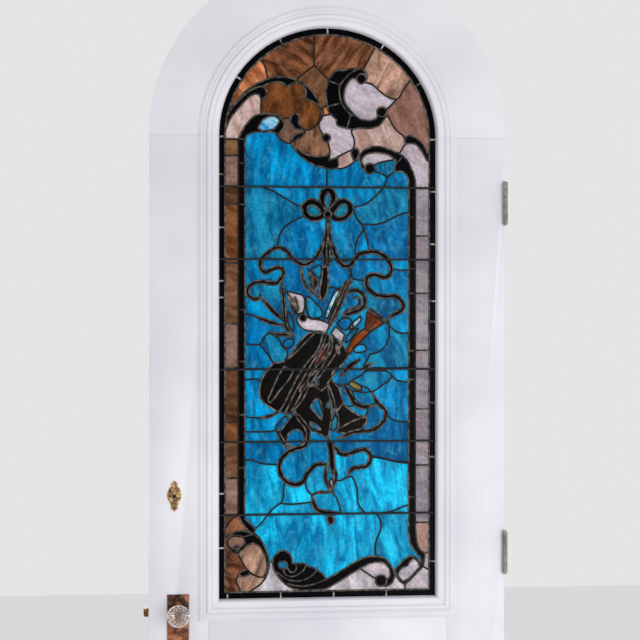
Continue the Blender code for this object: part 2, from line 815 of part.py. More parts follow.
def fill_pockets(triangles, flange, heart):
    """Adds to the hearts each spot between them that no glass reaches."""
    rim = {frozenset(edge) for edge in boundary_edges(triangles, flange)}
    for group in joined_groups(triangles, flange - heart):
        edges = set()
        for index in group:
            a, b, c = triangles[index]
            edges.update((frozenset((a, b)), frozenset((b, c)), frozenset((c, a))))
        if not edges & rim:
            heart = heart | group
    return heart


def largest_part(triangles, chosen):
    """The biggest group of triangles joined edge to edge."""
    groups = joined_groups(triangles, chosen)
    return max(groups, key=len)


def joined_groups(triangles, chosen):
    by_edge = {}
    for index in chosen:
        a, b, c = triangles[index]
        for edge in ((a, b), (b, c), (c, a)):
            by_edge.setdefault(frozenset(edge), []).append(index)
    left = set(chosen)
    groups = []
    while left:
        group = set()
        stack = [left.pop()]
        while stack:
            index = stack.pop()
            group.add(index)
            a, b, c = triangles[index]
            for edge in ((a, b), (b, c), (c, a)):
                for other in by_edge[frozenset(edge)]:
                    if other in left:
                        left.discard(other)
                        stack.append(other)
        groups.append(group)
    return groups


def loop_lines(polygon):
    return list(zip(polygon, polygon[1:] + polygon[:1]))


def inside(lines, point):
    """Whether a point lies inside an outline, by counting the lines to its right."""
    hit = False
    for first, second in lines:
        if (first.y > point.y) != (second.y > point.y):
            across = first.x + (point.y - first.y) / (second.y - first.y) * (second.x - first.x)
            if across > point.x:
                hit = not hit
    return hit


def make_glass(door):
    """Sheets of glass between the hearts, one solid for each zone of colour."""
    border = HALF_SIGHT - BORDER_WIDTH
    edge = HALF_OPENING - PANEL_EDGE_CLEARANCE - EDGE_CAME_WIDTH
    spring = SPRING_Z - SIGHT_Z
    outline = arched_path(edge - JOINT_GAP, -(edge - JOINT_GAP - HALF_SIGHT))
    outline.reverse()
    gaps = []
    for path, closed in heart_paths().values():
        gaps.extend(band_quads(path, CAME_HEART + 2 * JOINT_GAP, closed))
    points, triangles, owners = triangulate([outline] + gaps)
    blue = loop_lines(blue_loop())
    border_loop = loop_lines(arched_path(border, BORDER_WIDTH))
    strip_left = drawn(-217, 0).x
    strip_right = drawn(213, 0).x
    inner_left = drawn(-201, 0).x
    inner_right = drawn(197, 0).x
    middle_z = spring / 2
    zones = {}
    for index, owner in enumerate(owners):
        if 0 not in owner or any(face > 0 for face in owner):
            continue
        a, b, c = (points[i] for i in triangles[index])
        centre = (a + b + c) / 3
        in_left_strips = drawn(-201, 182).y < centre.y < drawn(-201, 1108).y and centre.x < inner_left
        in_right_strips = drawn(197, 150).y < centre.y < drawn(197, 1000).y and centre.x > inner_right
        if not inside(border_loop, centre):
            if centre.y > spring:
                zone = "border_glass_arch"
            elif abs(centre.x) > border:
                zone = "border_glass_left" if centre.x < 0 else "border_glass_right"
            else:
                zone = "border_glass_bottom"
        elif inside(blue, centre):
            zone = "blue_field_glass"
        elif in_left_strips:
            zone = "brown_strip_glass" if centre.x < strip_left else "inner_strip_glass_left"
        elif in_right_strips:
            zone = "lilac_strip_glass" if centre.x > strip_right else "inner_strip_glass_right"
        else:
            zone = "head_glass" if centre.y > middle_z else "foot_glass"
        zones.setdefault(zone, set()).add(index)
    finishes = {
        "blue_field_glass": "blue_glass",
        "brown_strip_glass": "brown_glass",
        "lilac_strip_glass": "lilac_glass",
        "head_glass": "amber_glass",
        "foot_glass": "lilac_glass",
    }
    half = GLASS_THICKNESS / 2
    for zone, region in sorted(zones.items()):
        region = largest_part(triangles, part_pinches(triangles, region))
        zone_points, zone_triangles, (sheet,) = retriangulate(points, triangles, (region,))
        mesh = layered_mesh(zone, zone_points, zone_triangles, (-half, half), (sheet,))
        add_piece(zone, mesh, finishes.get(zone, "black_glass"), (0, 0, 0), door)


def make_saddle_bars(door):
    depth = -(CAME_THICKNESS / 2 + JOINT_GAP + BAR_DIAMETER / 2)
    length = 2 * (HALF_SIGHT - JOINT_GAP)
    for number, share in enumerate(BAR_SHARES, start=1):
        name = "saddle_bar_%d" % number
        mesh = cylinder_mesh(name, BAR_DIAMETER / 2, length, axis="X", sides=8)
        place = in_door(0, share * (SPRING_Z - SIGHT_Z)) + Vector((0, depth, 0))
        add_piece(name, mesh, "iron", place, door, smooth=True)


# Fittings


def make_lock_plate(side_name, facing, door):
    name = "lock_plate_" + side_name
    mesh = box_mesh(name, (LOCK_PLATE_WIDTH, LOCK_PLATE_THICKNESS, LOCK_PLATE_HEIGHT))
    middle = KNOB_Z + LOCK_PLATE_ABOVE_KNOB - LOCK_PLATE_HEIGHT / 2
    depth = facing * (HALF_THICKNESS + JOINT_GAP + LOCK_PLATE_THICKNESS / 2)
    plate = add_piece(name, mesh, "copper", (KNOB_X, depth, middle), door)
    through = 8 * LOCK_PLATE_THICKNESS
    bore_mesh = cylinder_mesh(name + "_bore", SPINDLE_BORE_DIAMETER / 2, through, axis="Y")
    bore = add_cutter(name + "_bore", bore_mesh, (KNOB_X, depth, KNOB_Z))
    boolean(plate, bore, "DIFFERENCE")


def make_knob(side_name, facing, knob_axis):
    """A fluted glass knob on a turned brass shank; the shank's bore takes the spindle."""
    start = HALF_THICKNESS + JOINT_GAP + LOCK_PLATE_THICKNESS + TURNING_CLEARANCE
    bore = math.sqrt(2) * SPINDLE_SIZE / 2 + SPINDLE_CLEARANCE
    flange = SHANK_FLANGE_DIAMETER / 2
    neck = SHANK_DIAMETER / 2
    length = SHANK_LENGTH
    shank_profile = (
        (bore, length), (0.75 * flange, length), (flange, 0.86 * length), (0.85 * neck, 0.58 * length),
        (0.80 * neck, 0.22 * length), (neck, 0.0), (bore, 0.0),
    )
    shank = turned_mesh("knob_shank_" + side_name, shank_profile, ROUND_SIDES, closed=True)
    point_along(shank, facing)
    add_piece("knob_shank_" + side_name, shank, "brass", (KNOB_X, facing * start, KNOB_Z), knob_axis, smooth=True)
    radius = KNOB_DIAMETER / 2
    deep = KNOB_DEPTH
    knob_profile = (
        (0.0, deep), (0.50 * radius, deep), (0.80 * radius, 0.90 * deep), (radius, 0.62 * deep),
        (0.92 * radius, 0.36 * deep), (0.55 * radius, 0.10 * deep), (0.40 * radius, 0.0), (0.0, 0.0),
    )
    glass = turned_mesh("knob_glass_" + side_name, knob_profile, 2 * KNOB_FLUTES)
    flute(glass, KNOB_FLUTES, KNOB_FLUTE_SHARE)
    point_along(glass, facing)
    depth = facing * (start + SHANK_LENGTH + JOINT_GAP)
    add_piece("knob_glass_" + side_name, glass, "clear_glass", (KNOB_X, depth, KNOB_Z), knob_axis)


def flute(mesh, flutes, share):
    """Draws every second column of a turned shape in, so that it stands in points."""
    for vert in mesh.vertices:
        angle = math.atan2(vert.co.y, vert.co.x)
        column = round(angle / (math.pi / flutes))
        if column % 2:
            vert.co.x *= 1 - share
            vert.co.y *= 1 - share


def point_along(mesh, facing):
    """Turns a shape made along Z to run out of the door's face."""
    for vert in mesh.vertices:
        x, y, z = vert.co
        vert.co = (x, facing * z, -facing * y)


def make_spindle(knob_axis):
    reach = HALF_THICKNESS + JOINT_GAP + LOCK_PLATE_THICKNESS + TURNING_CLEARANCE + SHANK_LENGTH
    mesh = box_mesh("knob_spindle", (SPINDLE_SIZE, 2 * reach, SPINDLE_SIZE))
    add_piece("knob_spindle", mesh, "steel", (KNOB_X, 0, KNOB_Z), knob_axis)


def make_latch(latch_axis):
    """A bolt with a sloped nose; its origin is on the door's edge."""
    half = LATCH_THICKNESS / 2
    section = (
        (LATCH_BODY, -half), (LATCH_BODY, half), (-0.15 * LATCH_THROW, half),
        (-LATCH_THROW, -0.5 * half), (-LATCH_THROW, -half),
    )
    low = Vector((0, 0, -LATCH_HEIGHT / 2))
    high = Vector((0, 0, LATCH_HEIGHT / 2))
    stations = ((low, Vector((1, 0, 0)), Vector((0, 1, 0))), (high, Vector((1, 0, 0)), Vector((0, 1, 0))))
    mesh = swept_mesh("latch_bolt", section, stations)
    add_piece("latch_bolt", mesh, "brass", (LOCK_EDGE_X, 0, KNOB_Z), latch_axis)


def make_face_plate(door):
    mesh = box_mesh("lock_face_plate", (FACE_PLATE_THICKNESS, FACE_PLATE_WIDTH, FACE_PLATE_HEIGHT))
    place = (LOCK_EDGE_X + FACE_PLATE_THICKNESS / 2, 0, KNOB_Z)
    plate = add_piece("lock_face_plate", mesh, "brass", place, door)
    through = 8 * FACE_PLATE_THICKNESS
    hole = add_cutter("face_plate_hole", latch_hole_mesh("face_plate_hole", through), (LOCK_EDGE_X, 0, KNOB_Z))
    boolean(plate, hole, "DIFFERENCE")


def latch_hole_mesh(name, length):
    return box_mesh(name, (length, LATCH_THICKNESS + 2 * LATCH_CLEARANCE, LATCH_HEIGHT + 2 * LATCH_CLEARANCE))


def cut_lock_stile(stile):
    """The spindle's bore, the latch's pocket and the face plate's recess."""
    bore_mesh = cylinder_mesh("spindle_bore", SPINDLE_BORE_DIAMETER / 2, 2 * DOOR_THICKNESS, axis="Y")
    boolean(stile, add_cutter("spindle_bore", bore_mesh, (KNOB_X, 0, KNOB_Z)), "DIFFERENCE")
    reach = LATCH_BODY + LATCH_THROW + 4 * LATCH_CLEARANCE
    pocket = add_cutter("latch_pocket", latch_hole_mesh("latch_pocket", 2 * reach), (LOCK_EDGE_X, 0, KNOB_Z))
    boolean(stile, pocket, "DIFFERENCE")
    recess_size = (2 * (FACE_PLATE_THICKNESS + JOINT_GAP), FACE_PLATE_WIDTH + 2 * JOINT_GAP,
                   FACE_PLATE_HEIGHT + 2 * JOINT_GAP)
    recess = add_cutter("face_plate_recess", box_mesh("face_plate_recess", recess_size), (LOCK_EDGE_X, 0, KNOB_Z))
    boolean(stile, recess, "DIFFERENCE")


def escutcheon_outline():
    """Half of the plate's outline as shares of its half width and height, mirrored."""
    right = (
        (0.0, 1.0), (0.20, 0.86), (0.52, 0.80), (0.38, 0.62), (0.72, 0.48), (1.0, 0.16), (0.94, -0.14),
        (0.62, -0.40), (0.42, -0.62), (0.54, -0.78), (0.20, -0.86), (0.0, -1.0),
    )
    points = list(right) + [(-x, y) for x, y in reversed(right[1:-1])]
    return [(x * ESCUTCHEON_HALF_WIDTH, y * ESCUTCHEON_HALF_HEIGHT) for x, y in points]


def keyhole_outline():
    """A round hole with a slot below it."""
    points = []
    start = math.asin(KEYHOLE_SLOT_HALF / KEYHOLE_RADIUS)
    for step in range(KEYHOLE_STEPS + 1):
        angle = -math.pi / 2 + start + (2 * math.pi - 2 * start) * step / KEYHOLE_STEPS
        points.append((KEYHOLE_RADIUS * math.cos(angle), KEYHOLE_RADIUS * math.sin(angle)))
    points.append((-KEYHOLE_SLOT_HALF, -KEYHOLE_SLOT_DROP))
    points.append((KEYHOLE_SLOT_HALF, -KEYHOLE_SLOT_DROP))
    return points


def make_escutcheon(side_name, facing, door):
    name = "keyhole_escutcheon_" + side_name
    curve = bpy.data.curves.new(name, "CURVE")
    curve.dimensions = "2D"
    curve.fill_mode = "BOTH"
    curve.extrude = ESCUTCHEON_THICKNESS / 2
    for outline in (escutcheon_outline(), keyhole_outline()):
        spline = curve.splines.new("POLY")
        spline.points.add(len(outline) - 1)
        for point, (x, y) in zip(spline.points, outline):
            point.co = (x, y, 0, 1)
        spline.use_cyclic_u = True
    depth = facing * (HALF_THICKNESS + JOINT_GAP + ESCUTCHEON_THICKNESS / 2)
    plate = add_piece(name, curve, "brass", (KEYHOLE_X, depth, KEYHOLE_Z), door)
    plate.rotation_euler = (math.pi / 2, 0, 0)


# Hinges


def leaf_mesh(name, side, own_knuckles):
    """A leaf plate with fingers that reach its own knuckles; side is -1 for the door's leaf."""
    inner = PIN_X + side * LEAF_GAP / 2
    outer = inner + side * LEAF_THICKNESS
    low_x = min(inner, outer) - PIN_X
    high_x = max(inner, outer) - PIN_X
    knuckle = HINGE_HEIGHT / KNUCKLES
    near = -HALF_THICKNESS - PIN_Y
    finger = PIN_RADIUS + 2 * PIN_CLEARANCE
    far = near + LEAF_DEPTH
    outline = [(far, -HINGE_HEIGHT / 2), (far, HINGE_HEIGHT / 2)]
    for index in reversed(range(KNUCKLES)):
        reach = finger if index in own_knuckles else near
        top = -HINGE_HEIGHT / 2 + (index + 1) * knuckle
        bottom = top - knuckle
        if index in own_knuckles:
            top -= KNUCKLE_GAP / 2 if index < KNUCKLES - 1 else 0.0
            bottom += KNUCKLE_GAP / 2 if index > 0 else 0.0
        else:
            top += KNUCKLE_GAP / 2 if index < KNUCKLES - 1 else 0.0
            bottom -= KNUCKLE_GAP / 2 if index > 0 else 0.0
        outline.append((reach, top))
        outline.append((reach, bottom))
    start = Vector((low_x, 0, 0))
    end = Vector((high_x, 0, 0))
    across = Vector((0, 1, 0))
    up = Vector((0, 0, 1))
    return swept_mesh(name, outline, ((start, across, up), (end, across, up)))


def make_leaf(name, side, own_knuckles, height, parent):
    place = Vector((PIN_X, PIN_Y, FLOOR_Z + height))
    leaf = add_piece(name, leaf_mesh(name, side, own_knuckles), "steel", place, parent)
    knuckle = HINGE_HEIGHT / KNUCKLES
    for index in own_knuckles:
        middle = -HINGE_HEIGHT / 2 + (index + 0.5) * knuckle
        mesh = cylinder_mesh("%s_barrel_%d" % (name, index), BARREL_RADIUS, knuckle - KNUCKLE_GAP)
        barrel = add_cutter("%s_barrel_%d" % (name, index), mesh, place + Vector((0, 0, middle)))
        boolean(leaf, barrel, "UNION")
    bore_mesh = cylinder_mesh(name + "_bore", PIN_RADIUS + PIN_CLEARANCE, 2 * HINGE_HEIGHT)
    boolean(leaf, add_cutter(name + "_bore", bore_mesh, place), "DIFFERENCE")
    return leaf


def make_pin(name, height, root):
    """A pin with a low round head at each end."""
    half = HINGE_HEIGHT / 2 + PIN_CLEARANCE
    head = PIN_HEAD_HEIGHT
    profile = (
        (0.0, half + head), (PIN_HEAD_RADIUS, half + 0.4 * head), (PIN_HEAD_RADIUS, half),
        (PIN_RADIUS, half), (PIN_RADIUS, -half), (PIN_HEAD_RADIUS, -half),
        (PIN_HEAD_RADIUS, -half - 0.4 * head), (0.0, -half - head),
    )
    mesh = turned_mesh(name, profile, ROUND_SIDES)
    add_piece(name, mesh, "steel", (PIN_X, PIN_Y, FLOOR_Z + height), root, smooth=True)


def cut_hinge_stile(stile):
    """Recesses that let the door leaves lie flush in the stile's edge."""
    for number, height in enumerate(HINGE_HEIGHTS, start=1):
        name = "leaf_recess_%d" % number
        deep = LEAF_THICKNESS + JOINT_GAP
        long = LEAF_DEPTH + JOINT_GAP
        size = (2 * deep, 2 * long, HINGE_HEIGHT + 2 * JOINT_GAP)
        place = (EDGE_X, -HALF_THICKNESS, FLOOR_Z + height)
        boolean(stile, add_cutter(name, box_mesh(name, size), place), "DIFFERENCE")


def make_hinges(root, door):
    jamb_knuckles = [index for index in range(KNUCKLES) if index % 2 == 0]
    door_knuckles = [index for index in range(KNUCKLES) if index % 2 == 1]
    for number, height in enumerate(HINGE_HEIGHTS, start=1):
        make_leaf("hinge_jamb_leaf_%d" % number, 1, jamb_knuckles, height, root)
        make_leaf("hinge_door_leaf_%d" % number, -1, door_knuckles, height, door)
        make_pin("hinge_pin_%d" % number, height, root)


def build():
    root = empty("jamb_face", (0, 0, 0))
    door = empty("door_swing_axis", (PIN_X, PIN_Y, 0), root)
    knob_axis = empty("knob_turn_axis", (KNOB_X, 0, KNOB_Z), door)
    latch_axis = empty("latch_slide_axis", (LOCK_EDGE_X, 0, KNOB_Z), door)
    cut_lock_stile(make_stile("lock_stile", -1, door))
    cut_hinge_stile(make_stile("hinge_stile", 1, door))
    make_arched_head(door)
    make_rail("lock_rail", LOCK_RAIL_BOTTOM_Z, LOCK_RAIL_TOP_Z, door)
    make_rail("bottom_rail", FLOOR_Z, BOTTOM_RAIL_TOP_Z, door)
    make_lower_panel(door)
    for side_name, facing in (("room", -1), ("street", 1)):
        make_glazing_mouldings(side_name, facing, door)
        make_panel_mouldings(side_name, facing, door)
        make_lock_plate(side_name, facing, door)
        make_knob(side_name, facing, knob_axis)
        make_escutcheon(side_name, facing, door)
    make_cames(door)
    make_glass(door)
    make_saddle_bars(door)
    make_spindle(knob_axis)
    make_latch(latch_axis)
    make_face_plate(door)
    make_hinges(root, door)


WORLD_PLACES = {}
clear_scene()
PARTS = new_collection("stained_glass_front_door")
CUTTERS = new_collection("cutters")
build()
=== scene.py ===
"""Looks of the arched front door: painted wood, leaded opal glass, bars and fittings.

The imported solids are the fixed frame. Lengths are metres; the leading is drawn in
millimetres from the window's centreline (u, to the right) and the foot of its sight
opening (v, upwards).
"""
import math
import random

import bmesh
import bpy
import numpy as np
from mathutils import Euler, Matrix, Vector
from mathutils.geometry import delaunay_2d_cdt


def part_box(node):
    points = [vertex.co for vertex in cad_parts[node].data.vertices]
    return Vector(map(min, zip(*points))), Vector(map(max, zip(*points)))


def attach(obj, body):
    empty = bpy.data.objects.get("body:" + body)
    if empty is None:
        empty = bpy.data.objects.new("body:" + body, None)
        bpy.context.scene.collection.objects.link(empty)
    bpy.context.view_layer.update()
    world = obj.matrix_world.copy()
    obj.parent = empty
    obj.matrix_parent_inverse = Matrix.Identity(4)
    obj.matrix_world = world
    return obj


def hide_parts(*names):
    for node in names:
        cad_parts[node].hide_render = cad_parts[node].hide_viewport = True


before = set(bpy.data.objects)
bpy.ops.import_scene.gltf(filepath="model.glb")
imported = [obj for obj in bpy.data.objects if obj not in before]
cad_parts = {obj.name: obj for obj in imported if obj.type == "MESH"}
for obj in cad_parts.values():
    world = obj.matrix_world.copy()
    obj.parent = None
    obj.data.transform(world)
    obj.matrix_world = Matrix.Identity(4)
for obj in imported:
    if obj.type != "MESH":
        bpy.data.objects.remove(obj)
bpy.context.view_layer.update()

MM = 0.001
# Sockets of the colour mix node, whose names its other modes share
MIX_A, MIX_B, MIX_RESULT = 6, 7, 2

# Places read from the solids
LOCK_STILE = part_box("lock_stile")
HINGE_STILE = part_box("hinge_stile")
CENTRE_X = (LOCK_STILE[0].x + HINGE_STILE[1].x) / 2
HALF_OPENING = CENTRE_X - LOCK_STILE[1].x
HALF_THICKNESS = LOCK_STILE[1].y
SIGHT_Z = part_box("glazing_moulding_room_bottom")[1].z
SPRING_Z = LOCK_STILE[1].z
FLOOR_Z = LOCK_STILE[0].z
SPRING = SPRING_Z - SIGHT_Z
# The sight edge stands this far inside the stile's edge
SIGHT_INSET = 0.026
HALF_SIGHT = HALF_OPENING - SIGHT_INSET

# Sizes of cames, solder, glass and bars
CAME_HALF_DEPTH = 0.0028
CAME_SECTION = ((-0.0024, -0.0012), (-0.0013, -0.0028), (0.0013, -0.0028), (0.0024, -0.0012),
                (0.0024, 0.0012), (0.0013, 0.0028), (-0.0013, 0.0028), (-0.0024, 0.0012))
SOLDER_RADIUS, SOLDER_HALF_DEPTH = 0.0033, 0.0030
SOLDER_SPREAD, SOLDER_SPIN, SOLDER_SEED = (0.8, 1.15), 3.0, 11
GLASS_HALF = 0.0015
BAR_RADIUS, BAR_SIDES, BAR_STEPS, BAR_WANDER = 0.0024, 12, 40, 0.0002
DRAWING_TO_DOOR = Matrix(((1, 0, 0, CENTRE_X), (0, 0, -1, 0), (0, 1, 0, SIGHT_Z), (0, 0, 0, 1)))
# How strong the painted highlight on the lead is beside dark glass and along the ring, and how slim the lead
# is beside dark glass
DARK_GLASS_HIGHLIGHT = {"black": 0.07, "dark": 0.12, "smoke": 0.1}
RING_HIGHLIGHT, RING_BAND = 0.1, 2
SLIM = {"black": 0.8, "dark": 0.5, "smoke": 0.55}

# The drawing, in millimetres: how fine its lines are and how their ends meet
SPLINE_STEP, CORNER_TURN = 4.5, math.radians(62)
END_SNAP, END_OVERRUN, LEAD_LAP = 9.0, 0.4, 1
OUT_OF_REACH = 1e9
NO_AREA, NO_LENGTH, NO_SIZE = 1e-12, 1e-9, 1e-6
CUT_MODE, CUT_NEAR = 1, 1e-4
# The border's inner line, its foot, and the edge and foot of the glass
RING, BORDER_FOOT = 249.0, 15.0
GLASS_EDGE, GLASS_FOOT = 272.0, -8.0
SPRING_MM = SPRING / MM
WINDOW_ARCH_STEPS, WINDOW_SIDE_STEPS, WINDOW_FOOT_STEPS = 96, 60, 30
RIBBON_TAPER_STEPS, RIBBON_TIP = 5, 0.35
DROP_SIDES = 18
# Cuttings smaller than this many square millimetres join the pane beside them
SLIVER_AREA, SLIVER_ROUNDS = 16.0, 6
# Half the came's heart, which keeps the panes apart
HEART_HALF = 0.4
# How far a pane's streaks may lean, in degrees, and how far its pattern is moved
STREAK_SWAY, STREAK_DRIFT = 12, 9

# Woodwork: the moulding's steps out from the sight edge and above the stile's face, its back
# corner and reach, and the seats it lies on
MOULDING_STEPS = ((0.0, -0.002), (0.0015, 0.003), (0.004, 0.0058), (0.009, 0.0066), (0.016, 0.0070),
                  (0.0178, 0.0060),
                  (0.0190, 0.0060), (0.0200, 0.0088), (0.0225, 0.0102), (0.0255, 0.0105), (0.0285, 0.0092),
                  (0.0300, 0.0060), (0.0312, 0.0042), (0.0325, 0.0046), (0.0355, 0.0062), (0.0385, 0.0056),
                  (0.0395, 0.0040), (0.0405, 0.0040), (0.0435, 0.0046), (0.0465, 0.0030), (0.0500, 0.0012))
MOULDING_BACK = (0.0257, 0.0003)
MOULDING_REACH = 0.050
GLAZING_SEAT_GAP = 0.0003
PANEL_SEAT = 0.0063
# Eased edges under the paint, and the hairline gaps that keep pieces from touching
PAINTED_EDGE = 0.00015
JOINT_GAP = 0.00015
HEAD_LIFT = 0.0003
HEAD_CLEARANCE = 0.0001
ARCH_STEPS = 64
ARCH_SQUARE = (-math.tan(math.pi / ARCH_STEPS / 2), math.tan(math.pi / ARCH_STEPS / 2))

# Knob of cut glass: rings of its section, as shares of its depth and radius
KNOB_SIDES = 12
KNOB_RADIUS = 0.0277
KNOB_DEPTH = 0.0358
KNOB_RINGS = ((0.0, 0.36), (0.06, 0.46), (0.22, 0.80), (0.40, 0.99), (0.58, 1.0), (0.74, 0.90), (0.87, 0.68),
              (0.95, 0.42), (1.0, 0.20))
KNOB_CUT = 0.0006
FLOOR_GAP = 0.008

# Screws, keyhole and escutcheon. A screw's rings are shares of its radius and heights.
SCREW_RADIUS, SCREW_SIDES, SCREW_SINK, SCREW_SEED = 0.003, 12, 0.0004, 5
SCREW_RINGS = ((1.0, -0.0002), (1.0, 0.0), (0.8, 0.0002), (0.4, 0.00032))
SCREW_SLOT_HALF, SCREW_SLOT_DEPTH = 0.3, 0.0001
WELD = 1e-6
PLATE_SCREW_INSET = (0.009, 0.009)
ESCUTCHEON_SCREW_INSET, ESCUTCHEON_SINK = 0.0075, 0.0006
KEYHOLE_Z, KEYHOLE_SIDES = 0.145, 32
PLATE_EDGE, ESCUTCHEON_EDGE, ESCUTCHEON_FACE = 0.0006, 0.0005, 0.0012
KEYHOLE_RING = ((0.0058, 0.0006), (0.0086, 0.0006), (0.0086, 0.0015), (0.0078, 0.0019), (0.0066, 0.0019),
                (0.0058, 0.0015))
# Dark discs of painted shade, in the keyhole and behind its slot: their radius and depth
KEYHOLE_SHADE_DISC = ((0.007, 0.0012), (0.007, 0.0014))
KEYHOLE_SHADE_BACK = ((0.0142, 0.0003), (0.0142, 0.0005))

# Camera, fitted at this distance to a grid on the door's plane, placed in the photo by a
# plane homography, with no shift
CAMERA_PLACE = (-0.8904, -4.0, 0.5870)
CAMERA_YAW = 6.218
CAMERA_PITCH = -0.300
CAMERA_ROLL = 0.036
CAMERA_FOCAL_PX = 1659.36
IMAGE_PX = 640
SENSOR_MM = 36.0

# Studio: a pale floor and two square lamps, each with its place, aim and watts
FLOOR_HALF = 6.0
LIGHT_SIDE = 2.4
STUDIO_STRENGTH = 0.78
KEY_LIGHT = ((1.2, -3.6, -0.1), (-0.44, 0, 0.2), 52)
BACK_LIGHT = ((CENTRE_X, 3.0, 0.8), (CENTRE_X, 0, 0.3), 60)
CLIP_END = 50


def srgb(code, alpha=1.0):
    """A colour as linear light from its sRGB hex code."""
    parts = [int(code[i:i + 2], 16) / 255 for i in (1, 3, 5)]
    return tuple(p / 12.92 if p <= 0.04045 else ((p + 0.055) / 1.055) ** 2.4 for p in parts) + (alpha,)


def add(tree, kind, settings=None, inputs=None):
    """Adds a node, with its settings, its stops if it has any, and its values or links."""
    made = tree.nodes.new(kind)
    for key, value in (settings or {}).items():
        if key == "stops":
            ramp = made.color_ramp.elements
            while len(ramp) < len(value):
                ramp.new(1.0)
            for stop, (place, colour) in zip(ramp, value):
                stop.position = place
                stop.color = colour
        else:
            setattr(made, key, value)
    for key, value in (inputs or {}).items():
        socket = made.inputs[key]
        if isinstance(value, bpy.types.NodeSocket):
            tree.links.new(value, socket)
        else:
            socket.default_value = value
    return made


def new_material(name):
    made = bpy.data.materials.new(name)
    made.use_nodes = True
    made.node_tree.nodes.clear()
    return made, made.node_tree


# The leading's drawing


